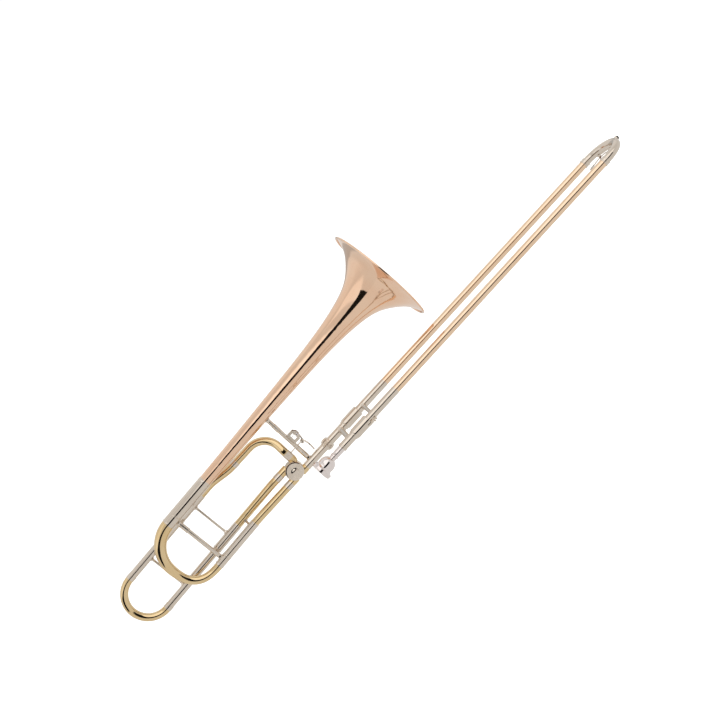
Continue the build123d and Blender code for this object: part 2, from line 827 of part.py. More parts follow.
crook_radius = leg_spacing / 2
crook_centre = Vector(slide_crook_start, -crook_radius, 0)
with BuildPart() as slide_crook:
    with BuildLine():
        Line((crook_tube_start, 0, 0), (slide_crook_start, 0, 0))
        ThreePointArc(
            (slide_crook_start, 0, 0),
            (slide_crook_start + crook_radius, -crook_radius, 0),
            (slide_crook_start, -leg_spacing, 0),
        )
        Line((slide_crook_start, -leg_spacing, 0), (crook_tube_start, -leg_spacing, 0))
    with BuildSketch(slide_leg(crook_tube_start, 0)):
        Circle(outer_tube_radius)
        Circle(outer_tube_inner_radius, mode=Mode.SUBTRACT)
    sweep()
    key_pad_r = radians(key_pad_angle)
    drain = crook_centre + Vector(sin(key_pad_r), cos(key_pad_r), 0) * crook_radius
    with BuildSketch(Plane(origin=drain, z_dir=(0, 0, -1))):
        Circle(key_nipple_hole)
    extrude(amount=outer_tube_radius + 2, mode=Mode.SUBTRACT)
save(slide_crook, "slide_crook")

with BuildPart() as slide_crook_ferrules:
    for y in (upper_y, 0):
        with BuildSketch(leg_profile_plane(y)):
            with BuildLine():
                Polyline(
                    *ferrule_outline(
                        crook_ferrule_start, crook_ferrule_length,
                        outer_tube_radius, crook_ferrule_radius,
                        (crook_ferrule_start + 1.6, crook_ferrule_start + 8.2),
                    ),
                    close=True,
                )
            make_face()
        revolve(axis=Axis((0, y, 0), (1, 0, 0)))
save(slide_crook_ferrules, "slide_crook_ferrules")

crook_skin = sweep(
    Plane(origin=(slide_crook_start, 0, 0), z_dir=(1, 0, 0)) * Circle(outer_tube_radius),
    path=ThreePointArc(
        (slide_crook_start, 0, 0),
        (slide_crook_start + crook_radius, -crook_radius, 0),
        (slide_crook_start, -leg_spacing, 0),
    ),
)
crook_tip = slide_crook_start + crook_radius + outer_tube_radius
with BuildPart() as bumper_cup:
    with BuildSketch(slide_leg(crook_tip - bumper_cup_root, -crook_radius)):
        Circle(bumper_cup_radius)
    extrude(amount=bumper_cup_root + bumper_cup_height)
    with BuildSketch(slide_leg(crook_tip + bumper_floor, -crook_radius)):
        Circle(bumper_radius)
    extrude(amount=bumper_cup_height, mode=Mode.SUBTRACT)
    add(crook_skin, mode=Mode.SUBTRACT)
save(bumper_cup, "bumper_cup")

with BuildPart() as bumper:
    with BuildSketch(slide_leg(crook_tip + bumper_floor, -crook_radius)):
        Circle(bumper_radius)
    extrude(amount=bumper_length)
    fillet(bumper.edges().filter_by(GeomType.CIRCLE).sort_by(Axis.X)[-1], radius=1.8)
save(bumper, "bumper")

# Water key: a short drain on the underside of the crook, closed by a sprung lever.
key_pivot_r = radians(key_pivot_angle)
key_point = crook_centre + Vector(sin(key_pivot_r), cos(key_pivot_r), 0) * crook_radius
key_way = Vector(cos(key_pivot_r), -sin(key_pivot_r), 0)  # along the crook, towards the drain
key_side = Vector(sin(key_pivot_r), cos(key_pivot_r), 0)
key_z = -outer_tube_radius - key_pivot_drop
key_frame = Plane(origin=key_point + Vector(0, 0, key_z), x_dir=key_way, z_dir=key_side)
# In key_frame, x runs towards the drain, y runs down, z runs to the outside of the crook.
to_drain = drain - key_point
drain_u = to_drain.dot(key_way)
drain_w = to_drain.dot(key_side)
arm_top = key_nipple_height + key_pad_height - key_pivot_drop  # below the pin, in y

plate_plane = Plane(origin=key_point, x_dir=key_way, z_dir=(0, 0, -1))
with BuildPart() as water_key_saddle:
    with BuildSketch(plate_plane):
        with BuildLine():
            Line((0, 0), (drain_u, -drain_w))
        trace(line_width=2 * (ear_gap + ear_thickness))
        with Locations((drain_u, -drain_w)):
            Circle(key_nipple_radius + 0.6)
        Rectangle(7.0, 2 * (ear_gap + ear_thickness))
    extrude(amount=outer_tube_radius + 0.9)
    for low in (ear_gap, -ear_gap - ear_thickness):
        with BuildSketch(key_frame.offset(low)):
            Circle(ear_radius)
            with BuildLine():
                Polyline(
                    (-ear_radius, 0),
                    (ear_radius, 0),
                    (ear_radius + 1.5, -key_pivot_drop - 3),
                    (-ear_radius - 1.5, -key_pivot_drop - 3),
                    close=True,
                )
            make_face()
            Circle(key_pin_radius, mode=Mode.SUBTRACT)
        extrude(amount=ear_thickness)
    with BuildSketch(Plane(origin=drain, z_dir=(0, 0, -1))):
        Circle(key_nipple_radius)
    extrude(amount=outer_tube_radius + key_nipple_height)
    add(crook_skin, mode=Mode.SUBTRACT)
    with BuildSketch(Plane(origin=drain, z_dir=(0, 0, -1))):
        Circle(key_nipple_hole)
    extrude(amount=outer_tube_radius + key_nipple_height + 1, mode=Mode.SUBTRACT)
save(water_key_saddle, "water_key_saddle")

with BuildPart() as water_key_pin:
    with BuildSketch(key_frame.offset(-ear_gap - ear_thickness - key_coil_length - 0.4)):
        Circle(key_pin_radius)
    extrude(amount=2 * (ear_gap + ear_thickness) + key_coil_length + 0.4)
    with BuildSketch(key_frame.offset(ear_gap + ear_thickness)):
        Circle(key_pin_head)
    extrude(amount=0.9)
save(water_key_pin, "water_key_pin")

finger_way = -key_way * cos(radians(finger_drop)) + Vector(0, 0, -1) * sin(radians(finger_drop))
finger_plane = Plane(origin=key_frame.origin, x_dir=finger_way, z_dir=finger_way.cross(key_side))
with BuildPart() as water_key_lever:
    with BuildSketch(key_frame.offset(-ear_gap + key_side_gap)):
        Circle(key_hub_radius)
    extrude(amount=2 * (ear_gap - key_side_gap))
    # The arm to the drain bends sideways with the crook.
    with BuildSketch(Plane(origin=key_frame.origin, x_dir=key_way, z_dir=(0, 0, -1)).offset(arm_top)):
        with BuildLine():
            FilletPolyline((0, 0), (drain_u * 0.45, 0), (drain_u, -drain_w), radius=6.0)
        trace(line_width=key_arm_width)
        with Locations((drain_u, -drain_w)):
            Circle(key_pad_radius + 0.5)
    extrude(amount=key_thickness)
    # The finger end reaches the other way and drops clear of the tube.
    with BuildSketch(finger_plane.offset(-key_thickness / 2)):
        with BuildLine():
            Line((0, 0), (key_finger_reach - 4, 0))
        trace(line_width=key_arm_width)
        with Locations((key_finger_reach - 5, 0)):
            Ellipse(6.5, 4.2)
    extrude(amount=key_thickness)
    with BuildSketch(key_frame.offset(-ear_gap + key_side_gap)):
        Circle(key_pin_radius + running_fit)
    extrude(amount=2 * (ear_gap - key_side_gap), mode=Mode.SUBTRACT)
save(water_key_lever, "water_key_lever")

with BuildPart() as water_key_pad:
    with BuildSketch(Plane(origin=drain, z_dir=(0, 0, -1)).offset(outer_tube_radius + key_nipple_height)):
        Circle(key_pad_radius)
    extrude(amount=key_pad_height)
save(water_key_pad, "water_key_pad")

water_key_spring = tube(
    [key_frame.offset(-ear_gap - ear_thickness - 0.2)],
    -key_coil_length,
    key_pin_radius + 0.1 + key_coil_radius,
    key_pin_radius + 0.1,
)
save(water_key_spring, "water_key_spring")

# ================================================================ bell
def bell_radius(distance):
    """Outer radius of the bell at a distance back from its rim."""
    for (x0, r0), (x1, r1) in zip(bell_outline, bell_outline[1:]):
        if distance <= x1:
            return r0 + (r1 - r0) * (distance - x0) / (x1 - x0)
    return bell_outline[-1][1]


def bell_inner(index):
    """The point one wall thickness inside the outline's point."""
    x, r = bell_outline[index]
    before = bell_outline[max(index - 1, 0)]
    after = bell_outline[min(index + 1, len(bell_outline) - 1)]
    run = hypot(after[0] - before[0], after[1] - before[1])
    slope_x = (after[0] - before[0]) / run
    slope_r = (after[1] - before[1]) / run
    return (x + bell_wall * slope_r, r - bell_wall * slope_x)


bell_axis = bell_axis_plane(bell_height)
rim_bead_r = bell_outline[0][1] - rim_bead_radius
bead_a = rim_distance - rim_bead_radius
with BuildPart() as bell:
    with BuildSketch(bell_axis):
        with BuildLine():
            outer_points = [(rim_distance - x, r) for x, r in bell_outline[1:]]
            inner_points = [bell_inner(i) for i in range(1, len(bell_outline))]
            inner_points = [(rim_distance - x, r) for x, r in inner_points]
            rim_outer = (rim_distance - 0.6, rim_bead_r)
            rim_inner = (rim_distance - 0.6 + bell_wall, rim_bead_r)
            Spline(rim_outer, *outer_points)
            Line(outer_points[-1], inner_points[-1])
            Spline(rim_inner, *inner_points)
            Line(rim_outer, rim_inner)
        make_face()
        with Locations((bead_a, rim_bead_r)):
            Circle(rim_bead_radius)
            Circle(rim_wire_radius + 0.02, mode=Mode.SUBTRACT)
    revolve(axis=Axis(bell_axis.origin, bell_along))
save(bell, "bell")

with BuildPart() as bell_rim_wire:
    with BuildSketch(bell_axis):
        with Locations((bead_a, rim_bead_r)):
            Circle(rim_wire_radius)
    revolve(axis=Axis(bell_axis.origin, bell_along))
save(bell_rim_wire, "bell_rim_wire")

# The bell's stem, the tuning receiver and the tuning slide's leg follow each other on the bell axis.
receiver_start_a = main_joint_a + main_ferrule_length
bell_ferrule_start_a = bell_ferrule_end_a - bell_ferrule_length
upper_leg_bore = upper_leg_radius - tube_wall

bell_ferrule = turned(
    bell_axis,
    [
        (bell_ferrule_start_a, upper_leg_radius + slide_fit),
        (bell_ferrule_start_a, upper_sleeve_outer),
        (bell_ferrule_end_a - 2.0, upper_sleeve_outer),
        (bell_ferrule_end_a - 1.0, upper_sleeve_outer + 0.35),
        (bell_ferrule_end_a, upper_sleeve_outer),
        (bell_ferrule_end_a, bell_tail_radius + 0.12),
        (bell_tail_a, bell_tail_radius + 0.12),
        (bell_tail_a, upper_leg_bore),
        (bell_tail_a - 1.0, upper_leg_bore),
        (bell_tail_a - 1.0, upper_leg_radius + slide_fit),
    ],
)
save(bell_ferrule, "bell_ferrule")

upper_tuning_receiver = turned(
    bell_axis,
    ferrule_outline(
        receiver_start_a, bell_ferrule_start_a - receiver_start_a,
        upper_leg_radius + slide_fit, upper_sleeve_outer, (receiver_start_a + 1.4,),
    ),
)
save(upper_tuning_receiver, "upper_tuning_receiver")

lower_axis = bell_axis_plane(main_lower_b)
lower_tuning_receiver = turned(
    lower_axis,
    [
        (receiver_start_a, lower_leg_radius + slide_fit),
        (receiver_start_a, lower_receiver_radius + 0.4),
        (receiver_start_a + 2.4, lower_receiver_radius + 0.4),
        (receiver_start_a + 3.0, lower_receiver_radius),
        (lower_receiver_end_a, lower_receiver_radius),
        (lower_receiver_end_a, gooseneck_radius),
        (lower_receiver_end_a - gooseneck_lap, gooseneck_radius),
        (lower_receiver_end_a - gooseneck_lap, lower_leg_radius + slide_fit),
    ],
)
save(lower_tuning_receiver, "lower_tuning_receiver")

# The gooseneck turns from the raked line onto the slide's axis.
knuckle_left_x = valve_x - knuckle_reach
gooseneck_start_a = lower_receiver_end_a - gooseneck_lap + stop_gap
gooseneck_inner = gooseneck_radius - tube_wall
gooseneck = bent_tube(
    [
        bell_point(gooseneck_start_a, main_lower_b),
        Vector(-gooseneck_corner, 0, 0),
        Vector(knuckle_left_x, 0, 0),
    ],
    gooseneck_bend,
    gooseneck_radius,
    gooseneck_inner,
)
save(gooseneck, "gooseneck")

# ================================================================ F attachment tubes
f_upper_axis = bell_axis_plane(f_upper_b, f_offset)
f_lower_axis = bell_axis_plane(f_lower_b, f_offset)
f_receiver_end_a = f_receiver_start_a + f_receiver_length
f_seat_a = f_receiver_end_a - f_receiver_lap
with BuildPart() as f_receivers:
    for axis_plane in (f_upper_axis, f_lower_axis):
        with BuildSketch(axis_plane):
            with BuildLine():
                Polyline(
                    (f_receiver_start_a, f_leg_radius + slide_fit),
                    (f_receiver_start_a, f_receiver_radius + 0.5),
                    (f_receiver_start_a + 2.6, f_receiver_radius + 0.5),
                    (f_receiver_start_a + 3.2, f_receiver_radius),
                    (f_receiver_end_a - 1.0, f_receiver_radius),
                    (f_receiver_end_a, f_tube_radius + 0.15),
                    (f_receiver_end_a, f_tube_radius),
                    (f_seat_a, f_tube_radius),
                    (f_seat_a, f_leg_radius + slide_fit),
                    close=True,
                )
            make_face()
        revolve(axis=Axis(axis_plane.origin, bell_along))
save(f_receivers, "f_receivers")

f_bore = f_tube_radius - tube_wall
port_height = 2 * valve_height
f_arch_tube = bent_tube(
    [
        bell_point(f_seat_a, f_upper_b, f_offset),
        bell_point(arch_corner_a, f_upper_b, f_offset),
        lean_point(arch_drop_x - arch_level_lead, arch_top, f_offset),
        lean_point(arch_drop_x, arch_top, f_offset),
        lean_point(arch_drop_x, drop_corner_height, 0),
        lean_point(arch_drop_x, valve_height + knuckle_reach, 0),
    ],
    [arch_corner_bend, arch_level_bend, arch_bend, drop_corner_bend],
    f_tube_radius,
    f_bore,
)
save(f_arch_tube, "f_arch_tube")

f_return_tube = bent_tube(
    [
        bell_point(f_seat_a, f_lower_b, f_offset),
        bell_point(return_corner_a, f_lower_b, f_offset),
        lean_point(knuckle_left_x - return_level_lead, port_height, 0),
        lean_point(knuckle_left_x, port_height, 0),
    ],
    [return_corner_bend, return_level_bend],
    f_tube_radius,
    f_bore,
)
save(f_return_tube, "f_return_tube")

# A ferrule closes each joint of the small tubes: where it starts, its length and the tube's radius.
port_ferrule_places = [
    (
        Plane(origin=(knuckle_left_x - port_ferrule_gap, 0, 0), x_dir=(0, 1, 0), z_dir=(-1, 0, 0)),
        port_ferrule_length,
        gooseneck_radius,
    ),
    (
        Plane(origin=lean_point(knuckle_left_x - port_ferrule_gap - 3.0, port_height),
              x_dir=outward, z_dir=(-1, 0, 0)),
        port_ferrule_length,
        f_tube_radius + ferrule_fit,
    ),
    (
        Plane(origin=lean_point(arch_drop_x, valve_height + knuckle_reach + port_ferrule_gap + 0.5),
              x_dir=along, z_dir=rising),
        port_ferrule_length,
        f_tube_radius + ferrule_fit,
    ),
    (
        Plane(origin=lean_point(arch_drop_x - arch_ferrule_lead, arch_top, f_offset),
              x_dir=outward, z_dir=along),
        arch_ferrule_length,
        f_tube_radius,
    ),
]
with BuildPart() as port_ferrules:
    for place, length, inner in port_ferrule_places:
        with BuildSketch(place):
            Circle(max(inner + port_ferrule_wall - ferrule_fit, port_ferrule_radius))
            Circle(inner, mode=Mode.SUBTRACT)
        extrude(amount=length)
save(port_ferrules, "port_ferrules")

f_receiver_brace = strut(
    bell_point(f_receiver_brace_a, f_lower_b, f_offset),
    bell_point(f_receiver_brace_a, f_upper_b, f_offset),
    f_brace_radius,
    f_brace_pad,
    [
        (bell_point(f_receiver_brace_a, f_lower_b, f_offset), bell_along, f_receiver_radius),
        (bell_point(f_receiver_brace_a, f_upper_b, f_offset), bell_along, f_receiver_radius),
    ],
)
save(f_receiver_brace, "f_receiver_brace")

gooseneck_brace = strut(
    bell_point(small_brace_a, main_lower_b),
    bell_point(small_brace_a, f_lower_b, f_offset),
    small_brace_radius,
    small_brace_pad,
    [
        (bell_point(small_brace_a, main_lower_b), bell_along, lower_receiver_radius),
        (bell_point(small_brace_a, f_lower_b, f_offset), bell_along, f_tube_radius + 0.2),
    ],
    neck=1.5,
)
save(gooseneck_brace, "gooseneck_brace")

# ================================================================ tuning slides
main_crook_centre_b = bell_height - loop_height / 2
main_crook_bend = loop_height / 2


def main_crook_radius(turn):
    """Outer radius of the main crook after a turn in degrees from its upper end."""
    share = min(turn / crook_taper_turn, 1.0)
    ease = share * share * (3 - 2 * share)
    return upper_leg_radius + 0.1 + (crook_apex_radius - upper_leg_radius - 0.1) * ease


def main_crook_plane(turn):
    """The plane across the main crook after a turn in degrees from its upper end."""
    angle = radians(turn)
    reach = main_crook_bend + crook_fullness * sin(2 * max(angle - pi / 2, 0)) ** 2
    centre = bell_point(
        main_joint_a - reach * sin(angle), main_crook_centre_b + reach * cos(angle)
    )
    way = -bell_along * cos(angle) - bell_plane.y_dir * sin(angle)
    return Plane(origin=centre, x_dir=outward, z_dir=way)


crook_turns = range(0, 181, 15)
with BuildPart() as main_tuning_crook:
    for turn in crook_turns:
        with BuildSketch(main_crook_plane(turn)):
            Circle(main_crook_radius(turn))
    loft()
    for turn in crook_turns:
        with BuildSketch(main_crook_plane(turn)):
            Circle(main_crook_radius(turn) - tube_wall)
    loft(mode=Mode.SUBTRACT)
save(main_tuning_crook, "main_tuning_crook")

upper_leg_end_a = bell_tail_a - 1.0 - leg_insertion_margin
lower_leg_end_a = lower_receiver_end_a - gooseneck_lap - leg_insertion_margin
with BuildPart() as main_slide_legs:
    with BuildSketch(bell_cross(main_joint_a, bell_height)):
        Circle(upper_leg_radius)
        Circle(upper_leg_radius - tube_wall, mode=Mode.SUBTRACT)
    extrude(amount=upper_leg_end_a - main_joint_a)
    with BuildSketch(bell_cross(main_joint_a, main_lower_b)):
        Circle(lower_leg_radius)
        Circle(lower_leg_radius - tube_wall, mode=Mode.SUBTRACT)
    extrude(amount=lower_leg_end_a - main_joint_a)
save(main_slide_legs, "main_slide_legs")

with BuildPart() as main_slide_ferrules:
    for axis_plane, inner, outer in (
        (bell_axis, upper_leg_radius, upper_sleeve_outer),
        (lower_axis, lower_leg_radius, lower_receiver_radius),
    ):
        with BuildSketch(axis_plane):
            with BuildLine():
                Polyline(
                    (main_joint_a + 0.2, inner),
                    (main_joint_a + 0.2, outer),
                    (main_joint_a + 1.2, outer + 0.4),
                    (main_joint_a + 2.4, outer + 0.4),
                    (main_joint_a + 3.2, outer),
                    (receiver_start_a - 1.2, outer),
                    (receiver_start_a - stop_gap, outer - 0.5),
                    (receiver_start_a - stop_gap, inner),
                    close=True,
                )
            make_face()
        revolve(axis=Axis(axis_plane.origin, bell_along))
save(main_slide_ferrules, "main_slide_ferrules")

main_brace_a = main_joint_a + main_ferrule_length * main_brace_share
main_slide_brace = strut(
    bell_point(main_brace_a, main_lower_b),
    bell_point(main_brace_a, bell_height),
    main_brace_radius,
    main_brace_pad,
    [
        (bell_point(main_brace_a, main_lower_b), bell_along, lower_receiver_radius),
        (bell_point(main_brace_a, bell_height), bell_along, upper_sleeve_outer),
    ],
    neck=2.5,
)
save(main_slide_brace, "main_slide_brace")

f_bend = (f_upper_b - f_lower_b) / 2
with BuildPart() as f_tuning_crook:
    with BuildLine():
        ThreePointArc(
            bell_point(f_joint_a, f_upper_b, f_offset),
            bell_point(f_joint_a - f_bend, (f_upper_b + f_lower_b) / 2, f_offset),
            bell_point(f_joint_a, f_lower_b, f_offset),
        )
    with BuildSketch(bell_cross(f_joint_a, f_upper_b, f_offset)):
        Circle(f_leg_radius)
        Circle(f_leg_radius - tube_wall, mode=Mode.SUBTRACT)
    sweep()
save(f_tuning_crook, "f_tuning_crook")

f_leg_end_a = f_seat_a - leg_insertion_margin
f_slide_legs = tube(
    [bell_cross(f_joint_a, f_upper_b, f_offset), bell_cross(f_joint_a, f_lower_b, f_offset)],
    f_leg_end_a - f_joint_a,
    f_leg_radius,
    f_leg_radius - tube_wall,
)
save(f_slide_legs, "f_slide_legs")

f_slide_ferrules = tube(
    [
        bell_cross(f_joint_a, f_upper_b, f_offset),
        bell_cross(f_joint_a, f_lower_b, f_offset),
    ],
    f_ferrule_length,
    f_leg_radius + f_ferrule_wall,
    f_leg_radius,
)
save(f_slide_ferrules, "f_slide_ferrules")

f_slide_brace = strut(
    bell_point(f_brace_a, f_lower_b, f_offset),
    bell_point(f_brace_a, f_upper_b, f_offset),
    f_brace_radius,
    f_brace_pad,
    [
        (bell_point(f_brace_a, f_lower_b, f_offset), bell_along, f_leg_radius),
        (bell_point(f_brace_a, f_upper_b, f_offset), bell_along, f_leg_radius),
    ],
)
save(f_slide_brace, "f_slide_brace")

# ================================================================ rotary valve
valve_plane = Plane(origin=lean_point(valve_x, valve_height), x_dir=along, z_dir=outward)
valve_centre = valve_plane.origin
port_starts = [
    (lean_point(valve_x - knuckle_reach, 0), along),
    (lean_point(valve_x + knuckle_reach, 0), -along),
    (lean_point(valve_x - knuckle_reach, port_height), along),
    (lean_point(arch_drop_x, valve_height + knuckle_reach), -rising),
]


def drop_knuckle(radius):
    """The solid of the arch's knuckle, which bends in to the casing."""
    with BuildPart() as bend:
        with BuildLine():
            route = FilletPolyline(
                lean_point(arch_drop_x, valve_height + knuckle_reach),
                lean_point(arch_drop_x, valve_height + knuckle_reach - drop_knuckle_leg),
                lean_point(valve_x + 3.0, valve_height + 5.0),
                radius=drop_knuckle_bend,
            )
        with BuildSketch(Plane(origin=route @ 0, z_dir=route % 0)):
            Circle(radius)
        sweep()
    return bend.part


with BuildPart() as valve_casing:
    with BuildSketch(valve_plane.offset(-valve_half_length)):
        Circle(casing_radius)
    extrude(amount=2 * valve_half_length)
    for start, way in port_starts[:-1]:
        with BuildSketch(Plane(origin=start, z_dir=way)):
            Circle(knuckle_radius)
        extrude(amount=knuckle_reach - knuckle_inner_x)
    add(drop_knuckle(knuckle_radius))
    with BuildSketch(valve_plane.offset(-valve_half_length)):
        Circle(chamber_radius)
    extrude(amount=2 * valve_half_length, mode=Mode.SUBTRACT)
    for start, way in port_starts[:-1]:
        with BuildSketch(Plane(origin=start, z_dir=way)):
            Circle(port_bore_radius)
        extrude(amount=knuckle_reach - knuckle_inner_x - knuckle_floor, mode=Mode.SUBTRACT)
    add(drop_knuckle(port_bore_radius), mode=Mode.SUBTRACT)
save(valve_casing, "valve_casing")

rotor_half_length = valve_half_length - rotor_gap
passage_centre = 2 * valve_height
passage_bend = passage_centre - rotor_passage_radius - rotor_web / 2
spindle_back = plate_thickness + arm_gap + arm_thickness
with BuildPart() as rotor:
    with BuildSketch(valve_plane.offset(-rotor_half_length)):
        Circle(chamber_radius - rotor_fit)
    extrude(amount=2 * rotor_half_length)
    for side in (1, -1):
        with BuildSketch(Plane(origin=valve_centre + rising * side * passage_centre,
                               x_dir=rising, z_dir=along)):
            with Locations((-side * passage_bend, 0)):
                Circle(rotor_passage_radius)
        revolve(
            axis=Axis(valve_centre + rising * side * passage_centre, outward), mode=Mode.SUBTRACT
        )
    with BuildSketch(valve_plane.offset(rotor_half_length)):
        Circle(spindle_radius)
    extrude(amount=rotor_gap + spindle_front)
    with BuildSketch(valve_plane.offset(-rotor_half_length)):
        Circle(spindle_radius)
    extrude(amount=-(rotor_gap + spindle_back))
save(rotor, "rotor")

valve_profile = Plane(origin=valve_centre, x_dir=outward, z_dir=along)
front = valve_half_length
valve_cap = turned(
    valve_profile,
    [
        (front, spindle_radius + running_fit),
        (front, cap_radius),
        (front + 2.4, cap_radius),
        (front + 3.2, cap_radius - 0.8),
        (front + 3.2, cap_radius - 3.4),
        (front + 2.7, cap_radius - 3.8),
        (front + 2.7, cap_radius - 6.0),
        (front + 3.3, cap_radius - 6.6),
        (front + 3.3, cap_radius - 9.4),
        (front + 2.9, cap_radius - 9.8),
        (front + 3.1, 4.6),
        (front + cap_height, 3.2),
        (front + cap_height + 0.7, 1.6),
        (front + cap_height + 0.8, 0),
        (front + spindle_front + 0.3, 0),
        (front + spindle_front + 0.3, spindle_radius + running_fit),
    ],
)
save(valve_cap, "valve_cap")

bearing_plate = turned(
    valve_profile,
    [
        (-front, spindle_radius + running_fit),
        (-front, cap_radius),
        (-front - plate_thickness + 0.6, cap_radius),
        (-front - plate_thickness, cap_radius - 0.6),
        (-front - plate_thickness, spindle_radius + running_fit),
    ],
)
save(bearing_plate, "bearing_plate")

# Stop arm: turned by the rod through its pin, and stopped by its wing against two corks.
crank_radius = lever_arm * sin(radians(lever_swing / 2)) / sin(radians(rotor_swing / 2))
pin_angle = 90 + rotor_swing / 2
wing_angle = pin_angle - 180
arm_plane = valve_plane.offset(-valve_half_length - plate_thickness - arm_gap)
eye_face = valve_half_length + plate_thickness + arm_gap + arm_thickness + rod_gap


def around(radius, angle):
    """Flat coordinates at a radius and an angle in degrees."""
    return (radius * cos(radians(angle)), radius * sin(radians(angle)))


with BuildPart() as stop_arm:
    with BuildSketch(arm_plane):
        Circle(arm_hub_radius)
        with Locations(around(crank_radius, pin_angle)):
            Circle(arm_eye_radius)
        with Locations(Location(around(wing_reach / 2, wing_angle), wing_angle)):
            Rectangle(wing_reach, wing_width)
        Circle(spindle_radius, mode=Mode.SUBTRACT)
    extrude(amount=-arm_thickness)
    with BuildSketch(arm_plane.offset(-arm_thickness)):
        with Locations(around(crank_radius, pin_angle)):
            Circle(arm_pin_radius)
    extrude(amount=-(rod_gap + eye_thickness + 0.3))
save(stop_arm, "stop_arm")

cork_lead = degrees(asin((cork_radius + wing_width / 2 + cork_clearance) / cork_circle))
with BuildPart() as stop_corks:
    with BuildSketch(valve_plane.offset(-valve_half_length - plate_thickness)):
        for angle in (wing_angle + cork_lead, wing_angle - rotor_swing - cork_lead):
            with Locations(around(cork_circle, angle)):
                Circle(cork_radius)
    extrude(amount=-(arm_gap + arm_thickness))
save(stop_corks, "stop_corks")

# ================================================================ neckpipe, bell brace, saddle
knuckle_right_x = valve_x + knuckle_reach
neckpipe_radius = slide_bore_radius + neck_wall
socket_start = -socket_depth
neckpipe = turned(
    leg_profile_plane(0),
    [
        (knuckle_right_x, slide_bore_radius),
        (knuckle_right_x, neckpipe_radius + neck_step),
        (neck_receiver_start + neck_step_lead, neckpipe_radius + neck_step),
        (neck_receiver_start + neck_step_lead + 1.0, neckpipe_radius),
        (socket_start - stop_gap, neckpipe_radius),
        (socket_start - stop_gap, slide_bore_radius),
    ],
)
save(neckpipe, "neckpipe")

neckpipe_receiver = turned(
    leg_profile_plane(0),
    [
        (neck_receiver_start, neckpipe_radius + neck_step),
        (neck_receiver_start, upper_sleeve_radius - 0.3),
        (neck_receiver_start + 0.8, upper_sleeve_radius),
        (nut_start - thread_setback, upper_sleeve_radius),
        (nut_start - 1.4, thread_radius),
        (tenon_root_x, thread_radius),
        (tenon_root_x, tenon_root_radius + taper_fit),
        (socket_start, tenon_tip_radius + taper_fit),
        (socket_start - stop_gap, tenon_tip_radius + taper_fit),
        (socket_start - stop_gap, neckpipe_radius),
        (neck_receiver_start + neck_step_lead + 1.0, neckpipe_radius),
        (neck_receiver_start + neck_step_lead, neckpipe_radius + neck_step),
    ],
)
save(neckpipe_receiver, "neckpipe_receiver")

brace_foot = Vector(brace_x, 0, 0)
brace_a = brace_x * cos(rake_r) + bell_height * sin(rake_r)
brace_head = lean_point(brace_x, bell_height / cos(rake_r) + brace_x * tan(rake_r))
bell_at_brace = bell_radius(rim_distance - brace_a)
stem_skin = turned(
    bell_axis,
    [(rim_distance - x, r) for x, r in bell_outline[5:]]
    + [(bell_tail_a, 0), (rim_distance - bell_outline[5][0], 0)],
)
bell_brace = strut(
    brace_foot,
    brace_head,
    brace_radius,
    brace_pad_radius,
    [
        (brace_foot, along, upper_sleeve_radius),
        (brace_head, bell_along, bell_at_brace + 0.25),
    ],
)
with BuildPart() as bell_brace_fitted:
    add(bell_brace.part)
    add(stem_skin.part, mode=Mode.SUBTRACT)
save(bell_brace_fitted, "bell_brace")

screw_places = [
    Plane(origin=lean_point(brace_x, bell_height - screw_drop, brace_radius), x_dir=along, z_dir=outward),
    Plane(origin=lean_point(brace_x, lower_screw_height, brace_radius), x_dir=along, z_dir=outward),
]
brace_skin = rod_solid(brace_foot, rising, bell_height, brace_radius)
with BuildPart() as brace_screws:
    with BuildSketch(*[place.offset(-screw_length / 2) for place in screw_places]):
        Circle(screw_radius)
    extrude(amount=screw_length)
    add(brace_skin, mode=Mode.SUBTRACT)
save(brace_screws, "brace_screws")

pivot_plane = Plane(origin=lean_point(pivot_x, pivot_height), x_dir=along, z_dir=outward)
saddle_mid = (saddle_low + saddle_high) / 2 - pivot_height
saddle_tall = saddle_high - saddle_low
saddle_root = brace_x + brace_radius - pivot_x


def cheek_sketch(plane):
    """The saddle's open cheek: a frame with a round nose at the pivot."""
    with BuildSketch(plane) as cheek:
        with BuildLine():
            Polyline(
                (saddle_root - 0.6, saddle_mid - saddle_tall / 2),
                (-3.0, saddle_mid - saddle_tall / 2),
                (3.4, -3.4),
                (3.4, 3.4),
                (-1.0, saddle_mid + saddle_tall / 2),
                (saddle_root - 0.6, saddle_mid + saddle_tall / 2),
                close=True,
            )
        make_face()
        with BuildLine():
            Polyline(
                (saddle_root + 2.4, saddle_mid - saddle_tall / 2 + cheek_bar),
                (-5.2, saddle_mid - saddle_tall / 2 + cheek_bar),
                (-4.2, 0),
                (-4.8, saddle_mid + saddle_tall / 2 - cheek_bar),
                (saddle_root + 2.4, saddle_mid + saddle_tall / 2 - cheek_bar),
                close=True,
            )
        make_face(mode=Mode.SUBTRACT)
        Circle(pivot_radius, mode=Mode.SUBTRACT)
    return cheek.sketch


with BuildPart() as thumb_saddle:
    for low in (cheek_gap, -cheek_gap - cheek_thickness):
        extrude(cheek_sketch(pivot_plane.offset(low)), amount=cheek_thickness)
    with BuildSketch(pivot_plane.offset(-cheek_gap - cheek_thickness)):
        with Locations((saddle_root + 0.3, saddle_mid)):
            Rectangle(3.6, saddle_tall)
    extrude(amount=2 * (cheek_gap + cheek_thickness))
    add(brace_skin, mode=Mode.SUBTRACT)
save(thumb_saddle, "thumb_saddle")

